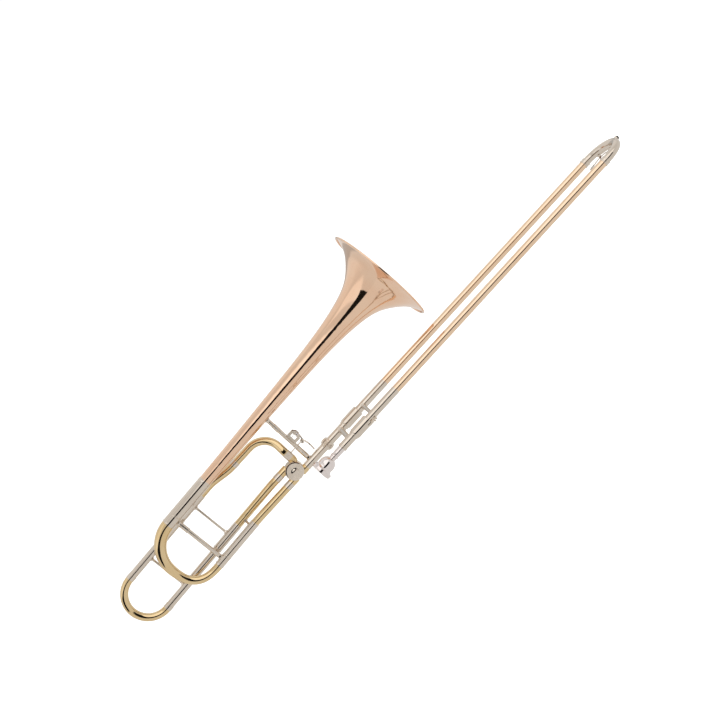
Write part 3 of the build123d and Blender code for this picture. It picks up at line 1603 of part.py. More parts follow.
with BuildPart() as lever_pin:
    with BuildSketch(pivot_plane.offset(-cheek_gap - cheek_thickness)):
        Circle(pivot_radius)
    extrude(amount=2 * (cheek_gap + cheek_thickness))
    for side in (1, -1):
        with BuildSketch(pivot_plane.offset(side * (cheek_gap + cheek_thickness))):
            Circle(pin_head_radius)
        extrude(amount=side * pin_head_height)
save(lever_pin, "lever_pin")

# Thumb lever: a bent strip on a hub, with a stud that drives the rod.
half_swing = radians(lever_swing / 2)
stud_at = (-lever_arm * sin(half_swing), -lever_arm * cos(half_swing))
paddle_turn = (paddle_x - pivot_x, paddle_bend_height - pivot_height)
paddle_end = (paddle_x - pivot_x, paddle_low - pivot_height)
hub_low = -cheek_gap + hub_side_gap
hub_high = cheek_gap - hub_side_gap
strip_high = hub_high - spring_length - 0.4


def lever_strip(plane, from_stud):
    """The lever's bent strip seen from its edge."""
    start = stud_at if from_stud else (0, 0)
    with BuildSketch(plane) as strip:
        with BuildLine():
            if from_stud:
                Line(stud_at, paddle_turn)
                Line(paddle_turn, paddle_end)
            else:
                Line(start, stud_at)
                Line(stud_at, paddle_turn)
        trace(line_width=lever_thickness)
    return strip.sketch


with BuildPart() as thumb_lever:
    with BuildSketch(pivot_plane.offset(hub_low)):
        Circle(hub_radius)
    extrude(amount=hub_high - hub_low)
    extrude(lever_strip(pivot_plane.offset(-lever_half_width), False), amount=lever_half_width + strip_high)
    extrude(lever_strip(pivot_plane.offset(-paddle_half_width), True), amount=2 * paddle_half_width)
    with BuildSketch(pivot_plane.offset(-lever_half_width)):
        with Locations(stud_at):
            Circle(lever_eye_radius)
    extrude(amount=lever_half_width + strip_high)
    with BuildSketch(pivot_plane.offset(-eye_face - eye_thickness - 0.3)):
        with Locations(stud_at):
            Circle(stud_radius)
    extrude(amount=eye_face + eye_thickness + 0.3)
    with BuildSketch(pivot_plane.offset(hub_low)):
        Circle(pivot_radius + running_fit)
    extrude(amount=hub_high - hub_low, mode=Mode.SUBTRACT)
save(thumb_lever, "thumb_lever")

lever_spring = tube([pivot_plane.offset(strip_high + 0.2)], spring_length, hub_radius + 0.1 + spring_wire, hub_radius + 0.1)
save(lever_spring, "lever_spring")

# Rod: a fitted eye on the lever's stud, and an open eye around the stop arm's pin.
stud_point = (pivot_x + stud_at[0], pivot_height + stud_at[1])
pin_flat = around(crank_radius, pin_angle)
pin_rise = crank_radius * (1 - cos(radians(rotor_swing / 2)))
stud_fall = lever_arm * (1 - cos(half_swing))
open_eye = (valve_x + pin_flat[0], valve_height + pin_flat[1] + (pin_rise + stud_fall) / 2)
open_eye_radius = arm_pin_radius + open_pivot_clearance
rod_level = lean_plane.offset(-eye_face - eye_thickness)
rod_mid = -eye_face - eye_thickness / 2
with BuildPart() as link_rod:
    with BuildLine():
        route = FilletPolyline(
            lean_point(stud_point[0] - 2.0, stud_point[1], rod_mid),
            lean_point(rod_bend_x, stud_point[1], rod_mid),
            lean_point(open_eye[0], open_eye[1], rod_mid),
            radius=rod_bend,
        )
    with BuildSketch(Plane(origin=route @ 0, z_dir=route % 0)):
        Circle(eye_thickness / 2)
    sweep()
    with BuildSketch(rod_level):
        with Locations(stud_point):
            Circle(stud_radius + eye_wall + 0.4)
        with Locations(open_eye):
            Circle(open_eye_radius + eye_wall)
    extrude(amount=eye_thickness)
    with BuildSketch(rod_level):
        with Locations(stud_point):
            Circle(stud_radius + running_fit)
        with Locations(open_eye):
            Circle(open_eye_radius)
    extrude(amount=eye_thickness, mode=Mode.SUBTRACT)
save(link_rod, "link_rod")
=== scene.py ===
"""The looks of the tenor trombone: finishes for every part, finer pieces where the plain solids
stop, and a white studio. Metres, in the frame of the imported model: +X towards the slide's crook."""

import json
from math import atan, cos, degrees, pi, radians, sin

import bmesh
import bpy
from mathutils import Matrix, Vector

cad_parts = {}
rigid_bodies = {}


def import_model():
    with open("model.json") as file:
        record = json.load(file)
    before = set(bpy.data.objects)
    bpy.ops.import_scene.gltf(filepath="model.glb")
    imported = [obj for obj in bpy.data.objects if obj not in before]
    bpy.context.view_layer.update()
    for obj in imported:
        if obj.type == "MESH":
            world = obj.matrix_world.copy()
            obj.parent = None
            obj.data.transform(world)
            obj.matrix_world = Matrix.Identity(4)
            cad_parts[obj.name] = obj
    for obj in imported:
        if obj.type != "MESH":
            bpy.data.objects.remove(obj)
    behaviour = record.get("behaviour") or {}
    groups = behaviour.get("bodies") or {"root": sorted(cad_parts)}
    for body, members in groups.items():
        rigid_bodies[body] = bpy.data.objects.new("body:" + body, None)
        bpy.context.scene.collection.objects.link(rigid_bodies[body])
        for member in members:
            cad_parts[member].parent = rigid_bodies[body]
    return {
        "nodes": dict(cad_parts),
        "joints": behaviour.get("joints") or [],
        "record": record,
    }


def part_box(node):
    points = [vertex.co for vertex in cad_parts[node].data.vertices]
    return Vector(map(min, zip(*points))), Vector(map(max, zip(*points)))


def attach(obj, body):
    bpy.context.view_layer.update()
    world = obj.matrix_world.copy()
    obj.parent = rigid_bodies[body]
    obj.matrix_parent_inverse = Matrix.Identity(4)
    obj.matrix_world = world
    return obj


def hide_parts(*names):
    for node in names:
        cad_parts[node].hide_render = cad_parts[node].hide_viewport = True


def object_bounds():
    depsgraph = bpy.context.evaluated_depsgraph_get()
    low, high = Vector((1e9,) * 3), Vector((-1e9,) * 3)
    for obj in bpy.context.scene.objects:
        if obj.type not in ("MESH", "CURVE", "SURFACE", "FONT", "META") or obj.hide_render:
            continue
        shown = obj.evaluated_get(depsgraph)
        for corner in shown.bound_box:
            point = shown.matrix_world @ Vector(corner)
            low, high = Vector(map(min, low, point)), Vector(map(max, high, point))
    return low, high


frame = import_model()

cad_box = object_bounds()
nodes = frame["nodes"]
joints = {joint["name"]: joint for joint in frame["joints"]}
MM = 0.001

SHARP_ANGLE = 38.0  # degrees; a crease steeper than this stays sharp

# ---------------------------------------------------------------- directions of the instrument
ALONG = Vector((1, 0, 0))
OUTWARD = Vector(joints["valve_turn"]["axis"]).normalized()  # out of the bell's plane, to the player's mouth
RISING = OUTWARD.cross(ALONG)
BELL_WAY = -Vector(joints["main_slide_pull"]["axis"]).normalized()
BELL_UP = OUTWARD.cross(BELL_WAY)


def placed(origin, x_dir, y_dir, z_dir):
    """The matrix that puts a piece made about the origin in its place."""
    matrix = Matrix((x_dir, y_dir, z_dir)).transposed().to_4x4()
    matrix.translation = origin
    return matrix


def facing(origin, z_dir, x_hint=ALONG):
    """A place whose z axis points along z_dir and whose x axis is near x_hint."""
    z_dir = z_dir.normalized()
    y_dir = z_dir.cross(x_hint).normalized()
    return placed(origin, y_dir.cross(z_dir), y_dir, z_dir)


# ================================================================ shader maths
class Socket:
    """A value in a shader tree. Python's operators on it add Math nodes."""

    def __init__(self, shader, socket):
        self.shader = shader
        self.socket = socket

    def math(self, operation, *others):
        return self.shader.node("Math", {"operation": operation}, self, *others)

    def __add__(self, other):
        return self.math("ADD", other)

    def __sub__(self, other):
        return self.math("SUBTRACT", other)

    def __rsub__(self, other):
        return self.shader.node("Math", {"operation": "SUBTRACT"}, other, self)

    def __mul__(self, other):
        return self.math("MULTIPLY", other)

    __radd__ = __add__
    __rmul__ = __mul__

    def between(self, low, high, soft):
        """1 from low to high, fading to 0 over a distance of soft on each side."""
        return self.step(low - soft, low) * (1 - self.step(high, high + soft))

    def step(self, low, high):
        """A smooth step from 0 at low to 1 at high."""
        settings = {"interpolation_type": "SMOOTHSTEP"}
        return self.shader.node("MapRange", settings, self, low, high, 0.0, 1.0)


class Shader:
    """The node tree of a material or of the world."""

    def __init__(self, owner):
        owner.use_nodes = True
        self.tree = owner.node_tree
        self.tree.nodes.clear()

    def node(self, kind, settings, *values, output=0, **named):
        """Adds a node: its settings first, then the values or links of its sockets."""
        made = self.tree.nodes.new("ShaderNode" + kind)
        for name, value in settings.items():
            setattr(made, name, value)
        sockets = dict(enumerate(values))
        sockets.update({name.replace("_", " "): value for name, value in named.items()})
        for key, value in sockets.items():
            if isinstance(value, Socket):
                self.tree.links.new(value.socket, made.inputs[key])
            elif value is not None:
                made.inputs[key].default_value = value
        return Socket(self, made.outputs[output] if made.outputs else None)

    def mix(self, share, first, second):
        """A colour between two others."""
        made = self.tree.nodes.new("ShaderNodeMix")
        made.data_type = "RGBA"
        for key, value in ((0, share), (6, first), (7, second)):
            if isinstance(value, Socket):
                self.tree.links.new(value.socket, made.inputs[key])
            else:
                made.inputs[key].default_value = value
        return Socket(self, made.outputs[2])

    def stretched(self, scale, turn=(0.0, 0.0, 0.0)):
        """Object coordinates, scaled by one number for each axis."""
        place = self.node("TexCoord", {}, output=3)
        return self.node("Mapping", {"vector_type": "POINT"}, place, Scale=scale, Rotation=turn)

    def noise(self, where, scale, detail=2.0, rough=0.5):
        return self.node("TexNoise", {}, Vector=where, Scale=scale, Detail=detail, Roughness=rough)

    def finish(self, surface):
        self.node("OutputMaterial", {}, surface)


def rgb(red, green, blue):
    return (red, green, blue, 1.0)


# ================================================================ finishes
def polished(name, colour, deep, roughness, coat=0.0, ring=False, grain=0.35):
    """A buffed metal: a slow drift of tone, fine polishing lines and a few handling marks.

    ring turns the lines about the bell's axis, as a spun bell has them; otherwise they run along X.
    """
    material = bpy.data.materials.new(name)
    shader = Shader(material)
    here = shader.stretched((1.0, 1.0, 1.0))
    tilt = (0.0, -atan(BELL_WAY.z / BELL_WAY.x), 0.0)
    lines_scale = (2200.0, 14.0, 14.0) if ring else (9.0, 1500.0, 1500.0)
    lines = shader.noise(shader.stretched(lines_scale, tilt), 1.0, 3.0, 0.6)
    drift = shader.noise(here, 22.0, 3.0, 0.55).step(0.32, 0.72)
    haze = shader.noise(here, 140.0, 4.0, 0.62).step(0.45, 0.8)
    marks = shader.noise(shader.stretched((260.0, 900.0, 900.0)), 1.0, 2.0, 0.4).step(0.68, 0.78)
    tone = shader.mix(drift * 0.45 + haze * 0.12 + marks * 0.06, colour, deep)
    rough = roughness + drift * 0.03 + haze * 0.035 + lines * 0.05 * grain + marks * 0.06
    height = lines * grain + haze * 0.5 + marks * -0.25
    relief = shader.node("Bump", {}, Strength=0.10, Distance=0.00004, Height=height)
    shader.finish(shader.node(
        "BsdfPrincipled", {}, Base_Color=tone, Metallic=1.0, Roughness=rough, Normal=relief,
        Coat_Weight=coat, Coat_Roughness=0.03, Coat_IOR=1.45,
    ))
    return material


def brushed(name, colour, deep, roughness, scale):
    """A turned metal with visible tool lines; scale gives their density along each axis."""
    material = bpy.data.materials.new(name)
    shader = Shader(material)
    lines = shader.noise(shader.stretched(scale), 1.0, 4.0, 0.65)
    cloud = shader.noise(shader.stretched((1.0, 1.0, 1.0)), 190.0, 3.0, 0.55).step(0.35, 0.75)
    tone = shader.mix(lines * 0.4 + cloud * 0.3, colour, deep)
    relief = shader.node("Bump", {}, Strength=0.22, Distance=0.00005, Height=lines)
    shader.finish(shader.node(
        "BsdfPrincipled", {}, Base_Color=tone, Metallic=1.0, Normal=relief,
        Roughness=roughness + lines * 0.12 + cloud * 0.05,
    ))
    return material


def wire_finish(name, colour, deep):
    """Drawn spring wire with a heat tint that comes and goes."""
    material = bpy.data.materials.new(name)
    shader = Shader(material)
    tint = shader.noise(shader.stretched((1.0, 1.0, 1.0)), 420.0, 3.0, 0.6).step(0.3, 0.7)
    relief = shader.node("Bump", {}, Strength=0.2, Distance=0.00003, Height=tint)
    shader.finish(shader.node(
        "BsdfPrincipled", {}, Base_Color=shader.mix(tint, colour, deep), Metallic=1.0,
        Roughness=0.2 + tint * 0.12, Normal=relief,
    ))
    return material


def rubber(name):
    """Moulded black rubber, dusty where it has been stood on."""
    material = bpy.data.materials.new(name)
    shader = Shader(material)
    here = shader.stretched((1.0, 1.0, 1.0))
    grain = shader.noise(here, 5200.0, 3.0, 0.7)
    dust = shader.noise(here, 900.0, 4.0, 0.6).step(0.5, 0.75)
    tone = shader.mix(dust * 0.5, rgb(0.012, 0.012, 0.013), rgb(0.06, 0.057, 0.054))
    relief = shader.node("Bump", {}, Strength=0.35, Distance=0.00008, Height=grain)
    shader.finish(shader.node(
        "BsdfPrincipled", {}, Base_Color=tone, Roughness=0.55 + grain * 0.25, Normal=relief,
    ))
    return material


def cork(name):
    """Pressed cork: pale cells with dark flecks and pores."""
    material = bpy.data.materials.new(name)
    shader = Shader(material)
    here = shader.stretched((1.0, 1.0, 1.0))
    cells = shader.node("TexVoronoi", {"feature": "DISTANCE_TO_EDGE"}, Vector=here, Scale=1500.0)
    flecks = shader.noise(here, 1100.0, 4.0, 0.7).step(0.56, 0.66)
    pale = shader.mix(cells.step(0.0, 0.25), rgb(0.36, 0.22, 0.12), rgb(0.56, 0.38, 0.22))
    tone = shader.mix(flecks, pale, rgb(0.12, 0.06, 0.03))
    relief = shader.node(
        "Bump", {}, Strength=0.6, Distance=0.00012, Height=cells.step(0.0, 0.2) - flecks
    )
    shader.finish(shader.node(
        "BsdfPrincipled", {}, Base_Color=tone, Roughness=0.78 + flecks * 0.12, Normal=relief,
    ))
    return material


FINISHES = {
    "rose_brass": polished(
        "rose_brass_lacquered", rgb(0.91, 0.645, 0.465), rgb(0.87, 0.54, 0.36), 0.045, 0.3, ring=True),
    "yellow_brass": polished(
        "yellow_brass_lacquered", rgb(0.80, 0.62, 0.36), rgb(0.72, 0.50, 0.24), 0.05, 0.3),
    "gold_lacquer": polished(
        "gold_lacquered_tube", rgb(0.91, 0.69, 0.50), rgb(0.86, 0.60, 0.40), 0.045, 0.3),
    "nickel_silver": polished(
        "nickel_silver_polished", rgb(0.75, 0.67, 0.58), rgb(0.65, 0.56, 0.47), 0.065, 0.15),
    "silver_plate": polished(
        "silver_plated", rgb(0.85, 0.78, 0.76), rgb(0.76, 0.69, 0.65), 0.05),
    "hard_chrome": polished(
        "hard_chromed_tube", rgb(0.80, 0.81, 0.83), rgb(0.70, 0.71, 0.74), 0.05, grain=0.8),
    "steel": brushed(
        "turned_steel", rgb(0.60, 0.59, 0.57), rgb(0.42, 0.40, 0.38), 0.22, (900.0, 900.0, 900.0)),
    "bronze_spring": wire_finish(
        "bronze_wire", rgb(0.56, 0.30, 0.17), rgb(0.30, 0.13, 0.07)),
    "black_rubber": rubber("black_rubber_moulded"),
    "cork": cork("pressed_cork"),
}
SLOT_OF = {part["node"]: part["material_slot"] for part in frame["record"]["subparts"]}

for node_name, node_object in nodes.items():
    node_object.data.materials.clear()
    node_object.data.materials.append(FINISHES[SLOT_OF[node_name]])


# ================================================================ making fine pieces
def lean(x, height, out=0.0):
    """A point of the leaning plane of the bell section, from millimetres."""
    return (ALONG * x + RISING * height + OUTWARD * out) * MM


def raked(a, b, out=0.0):
    """A point of the bell's own plane, from millimetres along and above the bell's way."""
    return (BELL_WAY * a + BELL_UP * b + OUTWARD * out) * MM


def lathe(outline, place, segments=48, ring=False):
    """A turned shape from (along z, radius) in millimetres. ring closes it around a bore."""
    points, faces, rows = [], [], []
    for along, radius in outline:
        count = segments if radius > 0 else 1
        rows.append(range(len(points), len(points) + count))
        for i in range(count):
            turn = 2 * pi * i / segments
            points.append(place @ (Vector((radius * cos(turn), radius * sin(turn), along)) * MM))
    for low, high in zip(rows, rows[1:] + rows[:1] if ring else rows[1:]):
        for i in range(segments):
            j = (i + 1) % segments
            corners = (low[i % len(low)], low[j % len(low)], high[j % len(high)], high[i % len(high)])
            face = tuple(dict.fromkeys(corners))
            if len(face) > 2:
                faces.append(face)
    return points, faces


def swept(path, sizes, side, sides=16, square=1.0):
    """A bar along a path of points in metres. sizes gives its half width along side and its half
    thickness at each point, in millimetres; square under 1 fills the section's corners."""
    points, faces = [], []
    for i, here in enumerate(path):
        way = (path[min(i + 1, len(path) - 1)] - path[max(i - 1, 0)]).normalized()
        across = (side - way * side.dot(way)).normalized()
        up = way.cross(across)
        wide, thick = sizes[i] if isinstance(sizes, list) else sizes
        for k in range(sides):
            turn = 2 * pi * (k + 0.5) / sides
            u = abs(cos(turn)) ** square * (1 if cos(turn) > 0 else -1)
            v = abs(sin(turn)) ** square * (1 if sin(turn) > 0 else -1)
            points.append(here + (across * wide * u + up * thick * v) * MM)
    for i in range(len(path) - 1):
        for k in range(sides):
            j = (k + 1) % sides
            faces.append((i * sides + k, i * sides + j, (i + 1) * sides + j, (i + 1) * sides + k))
    faces.append(tuple(range(sides)))
    faces.append(tuple(len(points) - 1 - k for k in range(sides)))
    return points, faces


def smooth_path(corners, steps=6):
    """A curve through the given points (Catmull-Rom)."""
    curve = []
    padded = [corners[0] * 2 - corners[1], *corners, corners[-1] * 2 - corners[-2]]
    for p, q, r, s in zip(padded, padded[1:], padded[2:], padded[3:]):
        for i in range(steps):
            t = i / steps
            curve.append((q * 2 + (r - p) * t + (p * 2 - q * 5 + r * 4 - s) * t * t
                          + (q * 3 - p - r * 3 + s) * t ** 3) / 2)
    return curve + [corners[-1]]


def piece(name, shapes, slot, body, *replaced):
    """Joins shapes into one object that rides on a body, and stands in for the replaced nodes."""
    points, faces = [], []
    for shape_points, shape_faces in shapes:
        faces += [[index + len(points) for index in face] for face in shape_faces]
        points += shape_points
    mesh = bpy.data.meshes.new(name)
    mesh.from_pydata(points, [], faces)
    settle(name, mesh, slot, body, replaced)


def settle(name, mesh, slot, body, replaced):
    """Gives a mesh its outward faces, finish and shading, and registers its object."""
    work = bmesh.new()
    work.from_mesh(mesh)
    bmesh.ops.recalc_face_normals(work, faces=work.faces)
    work.to_mesh(mesh)
    work.free()
    mesh.materials.clear()
    mesh.materials.append(FINISHES[slot])
    mesh.shade_smooth()
    mesh.set_sharp_from_angle(angle=radians(SHARP_ANGLE))
    made = bpy.data.objects.new(name, mesh)
    bpy.context.scene.collection.objects.link(made)
    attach(made, body)
    if replaced:
        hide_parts(*replaced)


# ================================================================ repeated shapes, by Geometry Nodes
class Growth:
    """A Geometry Nodes tree with named inputs, ended by Realize Instances and Set Material."""

    def __init__(self, name, **inputs):
        self.tree = bpy.data.node_groups.new(name, "GeometryNodeTree")
        self.ids = {}
        self.tree.interface.new_socket("Geometry", in_out="INPUT", socket_type="NodeSocketGeometry")
        for label, kind in inputs.items():
            made = self.tree.interface.new_socket(label, in_out="INPUT", socket_type="NodeSocket" + kind)
            self.ids[label] = made.identifier
        self.tree.interface.new_socket("Geometry", in_out="OUTPUT", socket_type="NodeSocketGeometry")
        self.given = self.tree.nodes.new("NodeGroupInput")

    def add(self, kind, settings, **sockets):
        """Adds a node; a socket takes a value, an input's name, or another node's output."""
        made = self.tree.nodes.new(kind)
        for name, value in settings.items():
            setattr(made, name, value)
        for name, value in sockets.items():
            socket = made.inputs[name.replace("_", " ")]
            if isinstance(value, str):
                self.tree.links.new(self.given.outputs[value], socket)
            elif isinstance(value, bpy.types.NodeSocket):
                self.tree.links.new(value, socket)
            else:
                socket.default_value = value
        return made.outputs[0]

    def end(self, geometry, slot):
        solid = self.add("GeometryNodeRealizeInstances", {}, Geometry=geometry)
        coated = self.add("GeometryNodeSetMaterial", {}, Geometry=solid, Material=FINISHES[slot])
        out = self.tree.nodes.new("NodeGroupOutput")
        self.tree.links.new(coated, out.inputs[0])
        self.slot = slot
        return self

    def grow(self, name, place, body, *replaced, **values):
        """Evaluates the tree once and keeps the result as a plain mesh."""
        host = bpy.data.objects.new(name + "_host", bpy.data.meshes.new(name + "_host"))
        bpy.context.scene.collection.objects.link(host)
        modifier = host.modifiers.new("grow", "NODES")
        modifier.node_group = self.tree
        for label, value in values.items():
            modifier[self.ids[label]] = value
        graph = bpy.context.evaluated_depsgraph_get()
        mesh = bpy.data.meshes.new_from_object(host.evaluated_get(graph))
        bpy.data.objects.remove(host)
        mesh.name = name
        mesh.transform(place)
        settle(name, mesh, self.slot, body, replaced)


def coil_growth(slot):
    """A wire coil along z, capped at both ends."""
    tree = Growth("coil", Turns="Float", Radius="Float", Length="Float", Wire="Float")
    helix = tree.add("GeometryNodeCurveSpiral", {}, Resolution=28, Rotations="Turns",
                     Start_Radius="Radius", End_Radius="Radius", Height="Length")
    section = tree.add("GeometryNodeCurvePrimitiveCircle", {"mode": "RADIUS"}, Resolution=10, Radius="Wire")
    wire = tree.add("GeometryNodeCurveToMesh", {}, Curve=helix, Profile_Curve=section, Fill_Caps=True)
    return tree.end(wire, slot)


def knurl_growth(slot):
    """Rows of small pyramids on a cylinder about z, each row half a step on from the last."""
    tree = Growth("knurl", Count="Int", Rows="Int", Radius="Float", Pitch="Float", Size="Float",
                  Depth="Float", HalfStep="Float")
    ring = tree.add("GeometryNodeMeshCircle", {"fill_type": "NONE"}, Vertices="Count", Radius="Radius")
    tooth = tree.add("GeometryNodeMeshCone", {"fill_type": "NGON"}, Vertices=4, Side_Segments=1,
                     Radius_Top=0.0, Radius_Bottom="Size", Depth="Depth")
    where = tree.add("GeometryNodeInputPosition", {})
    facing_out = tree.add("FunctionNodeAlignRotationToVector", {"axis": "Z"}, Vector=where)
    row = tree.add("GeometryNodeInstanceOnPoints", {}, Points=ring, Instance=tooth, Rotation=facing_out)
    step = tree.add("ShaderNodeCombineXYZ", {}, Z="Pitch")
    column = tree.add("GeometryNodeMeshLine", {}, Count="Rows", Offset=step)
    number = tree.add("GeometryNodeInputIndex", {})
    turned_by = tree.tree.nodes.new("ShaderNodeMath")
    turned_by.operation = "MULTIPLY"
    tree.tree.links.new(number, turned_by.inputs[0])
    tree.tree.links.new(tree.given.outputs["HalfStep"], turned_by.inputs[1])
    turn = tree.add("ShaderNodeCombineXYZ", {}, Z=turned_by.outputs[0])
    rows = tree.add("GeometryNodeInstanceOnPoints", {}, Points=column, Instance=row, Rotation=turn)
    return tree.end(rows, slot)


coil = coil_growth("bronze_spring")
knurl = knurl_growth("nickel_silver")


def knurled(name, place, body, count, rows, radius, pitch, size):
    """Grows one band of knurling; sizes in millimetres."""
    knurl.grow(name, place, body, Count=count, Rows=rows, Radius=radius * MM, Pitch=pitch * MM,
               Size=size * MM, Depth=size * 0.7 * MM, HalfStep=pi / count)


# ================================================================ lock nut and valve cap
knurled("lock_nut_knurling", facing(Vector((-3.4, 0, 0)) * MM, ALONG, OUTWARD), "lock_nut",
        56, 6, 11.62, 1.3, 0.85)

VALVE = Vector(joints["valve_turn"]["pos_m"])
cap_place = facing(VALVE, OUTWARD)
CAP_FRONT = 12.5  # from the valve's middle to the face that the cap closes
CAP_RADIUS = 17.4
CAP_FACE = CAP_FRONT + 3.25
CAP_GROOVE = CAP_FRONT + 3.11  # the floor of the grooves turned in the cap's face
cap_outline = [(CAP_FRONT, 0), (CAP_FRONT, 16.9), (CAP_FRONT + 0.3, CAP_RADIUS),
               (CAP_FRONT + 2.5, CAP_RADIUS), (CAP_FRONT + 3.1, 16.9), (CAP_FACE, 16.2)]
for ring_radius in (14.4, 12.9, 11.0, 9.2, 7.4):
    cap_outline += [(CAP_FACE, ring_radius + 0.35), (CAP_GROOVE, ring_radius + 0.18),
                    (CAP_GROOVE, ring_radius - 0.18), (CAP_FACE, ring_radius - 0.35)]
for rise, radius in ((3.3, 6.0), (3.5, 4.9), (3.95, 4.1), (4.4, 3.2), (4.75, 2.2), (4.95, 1.1), (5.0, 0)):
    cap_outline.append((CAP_FRONT + rise, radius))
piece("valve_cap_turned", [lathe(cap_outline, cap_place, 96)], "nickel_silver", "bell_section", "valve_cap")
knurled("valve_cap_knurling", facing(VALVE + OUTWARD * (CAP_FRONT + 0.8) * MM, OUTWARD), "bell_section",
        84, 2, 17.35, 1.0, 0.62)

# ================================================================ thumb lever, its spring and screws
PIVOT = Vector(joints["thumb_lever_press"]["pos_m"])
STUD = Vector(joints["linkage_pivot"]["pos_m"])
HUB_HALF = 6.6
pivot_place = facing(PIVOT, OUTWARD)
hub = lathe([(-HUB_HALF, 1.6), (-HUB_HALF, 2.4), (0.3 - HUB_HALF, 2.7), (0.9, 2.7), (1.2, 2.4),
             (1.2, 2.15), (HUB_HALF, 2.15), (HUB_HALF, 1.6)], pivot_place, 40, ring=True)
strip_path = smooth_path([
    lean(-24.2, 53.9, -1.6), lean(-23.2, 50.6, -1.6), lean(-23.6, 46.4, -1.6), lean(-24.7, 41.8, -1.4),
    lean(-24.6, 37.2, -1.0), lean(-23.4, 32.4, -0.4), lean(-22.6, 27.0, 0), lean(-22.5, 21.0, 0),
    lean(-23.0, 15.4, 0), lean(-23.9, 10.6, 0),
])
strip_sizes = []
for index in range(len(strip_path)):
    share = index / (len(strip_path) - 1)
    widening = min(max((share - 0.35) / 0.35, 0.0), 1.0)
    closing = min((1 - share) / 0.06, 1.0) ** 0.5
    strip_sizes.append(((3.0 + 3.9 * widening) * max(closing, 0.25), 1.35 * max(closing, 0.5)))
strip = swept(strip_path, strip_sizes, OUTWARD, 20, 0.45)
lug = swept(smooth_path([lean(-24.4, 39.4, -1.6), lean(-26.6, 38.4, -1.6), STUD - OUTWARD * 1.6 * MM]),
            (2.8, 1.2), OUTWARD, 16, 0.5)
stud_place = facing(STUD, OUTWARD)
eye = lathe([(-4.5, 0), (-4.5, 2.2), (-4.2, 2.6), (0.9, 2.6), (1.2, 2.2), (1.2, 0)], stud_place, 32)
stud = lathe([(-20.6, 0), (-20.6, 0.9), (-20.3, 1.18), (-4.4, 1.18), (-4.4, 0)], stud_place, 24)
piece("thumb_lever_bent", [hub, strip, lug, eye, stud], "nickel_silver", "thumb_lever", "thumb_lever")

SPRING_START = 1.75  # from the pivot's middle to the coil's first turn
SPRING_WIRE = 0.42
coil.grow("lever_spring_coil", facing(PIVOT + OUTWARD * SPRING_START * MM, OUTWARD), "thumb_lever",
          "lever_spring", Turns=5.0, Radius=3.35 * MM, Length=4.3 * MM, Wire=SPRING_WIRE * MM)
for name, body, corners in (
    ("lever_spring_lever_leg", "thumb_lever",
     [lean(-27.3, 56.0, 1.8), lean(-27.6, 52.6, 1.7), lean(-27.5, 48.0, 1.2), lean(-26.4, 44.4, 0.9)]),
    ("lever_spring_brace_leg", "bell_section",
     [lean(-24.2, 59.3, 6.0), lean(-28.2, 59.4, 6.1), lean(-32.4, 58.9, 6.2), lean(-35.6, 58.0, 6.2)]),
):
    leg = swept(smooth_path(corners), (SPRING_WIRE, SPRING_WIRE), OUTWARD, 10)
    piece(name, [leg], "bronze_spring", body)


def dome_head(place, radius, height, slot_width):
    """A domed screw head, and a bar laid on its dome for its driver's slot, not cut in; where the bar's
    finish is darker than the head's, that is painted shade of the slot's recess.
    """
    base = height * 0.25
    dome = [(base + (height - base) * sin(radians(a)), radius * cos(radians(a))) for a in (20, 40, 60, 75)]
    rim = lathe([(0, 0), (0, radius), (base, radius), *dome, (height, 0)], place, 32)
    half = radius * 0.86
    low = place @ (Vector((-half, 0, height * 0.86)) * MM)
    high = place @ (Vector((half, 0, height * 0.86)) * MM)
    side = place.to_3x3() @ Vector((0, 1, 0))
    return rim, swept([low, high], (slot_width, height * 0.16), side, 4, 1.0)


PIN_END = 10.2  # from the pivot's middle to each end of its pin
for name, way in (("lever_pin_head_front", OUTWARD), ("lever_pin_head_back", -OUTWARD)):
    head_place = facing(PIVOT + way * PIN_END * MM, way, ALONG + RISING)
    rim, slot_shade_bar = dome_head(head_place, 2.95, 1.5, 0.35)
    piece(name, [rim], "silver_plate", "bell_section")
    # The slot bar is turned steel, darker than the silver-plated head: painted shade of the slot's recess.
    piece(name.replace("head", "slot"), [slot_shade_bar], "steel", "bell_section")

BELL_BRACE_X = -42.5
screw_shapes = []
for height in (92.0, 24.0):
    screw_place = facing(lean(BELL_BRACE_X, height, 3.9), OUTWARD, ALONG + RISING * height / 50)
    screw_shapes += dome_head(screw_place, 1.7, 0.9, 0.25)
piece("brace_screw_heads", screw_shapes, "steel", "bell_section", "brace_screws")

# ================================================================ sleeves and rings on the braces
def sleeve(start, way, length, inner, outer, rings=()):
    """A thin sleeve on a round brace, with raised rings; start in metres, the rest in millimetres."""
    outline = [(0, inner), (0, outer - 0.15), (0.3, outer)]
    for ring in rings:
        outline += [(ring - 0.8, outer), (ring - 0.45, outer + 0.3)]
        outline += [(ring + 0.45, outer + 0.3), (ring + 0.8, outer)]
    outline += [(length - 0.3, outer), (length, outer - 0.15), (length, inner)]
    return lathe(outline, facing(start, way, OUTWARD), 40, ring=True)


def ring_at(point, way, inner, height=0.45, width=1.6):
    """A half-round solder ring where a brace leaves its pad."""
    edge, shoulder = inner + height * 0.3, inner + height * 0.85
    outline = [(-width / 2, inner), (-width / 2, edge), (-width * 0.25, shoulder), (0, inner + height),
               (width * 0.25, shoulder), (width / 2, edge), (width / 2, inner)]
    return lathe(outline, facing(point, way, OUTWARD), 40, ring=True)


bell_brace_dress = [
    sleeve(lean(BELL_BRACE_X, 12.6), RISING, 25.0, 4.05, 4.75, (1.6, 23.4)),
    sleeve(lean(BELL_BRACE_X, 83.5), RISING, 15.0, 4.05, 4.6, (1.4, 13.6)),
    ring_at(lean(BELL_BRACE_X, 68.4), RISING, 4.05),
    ring_at(lean(BELL_BRACE_X, 43.6), RISING, 4.05),
]
piece("bell_brace_sleeves", bell_brace_dress, "nickel_silver", "bell_section")

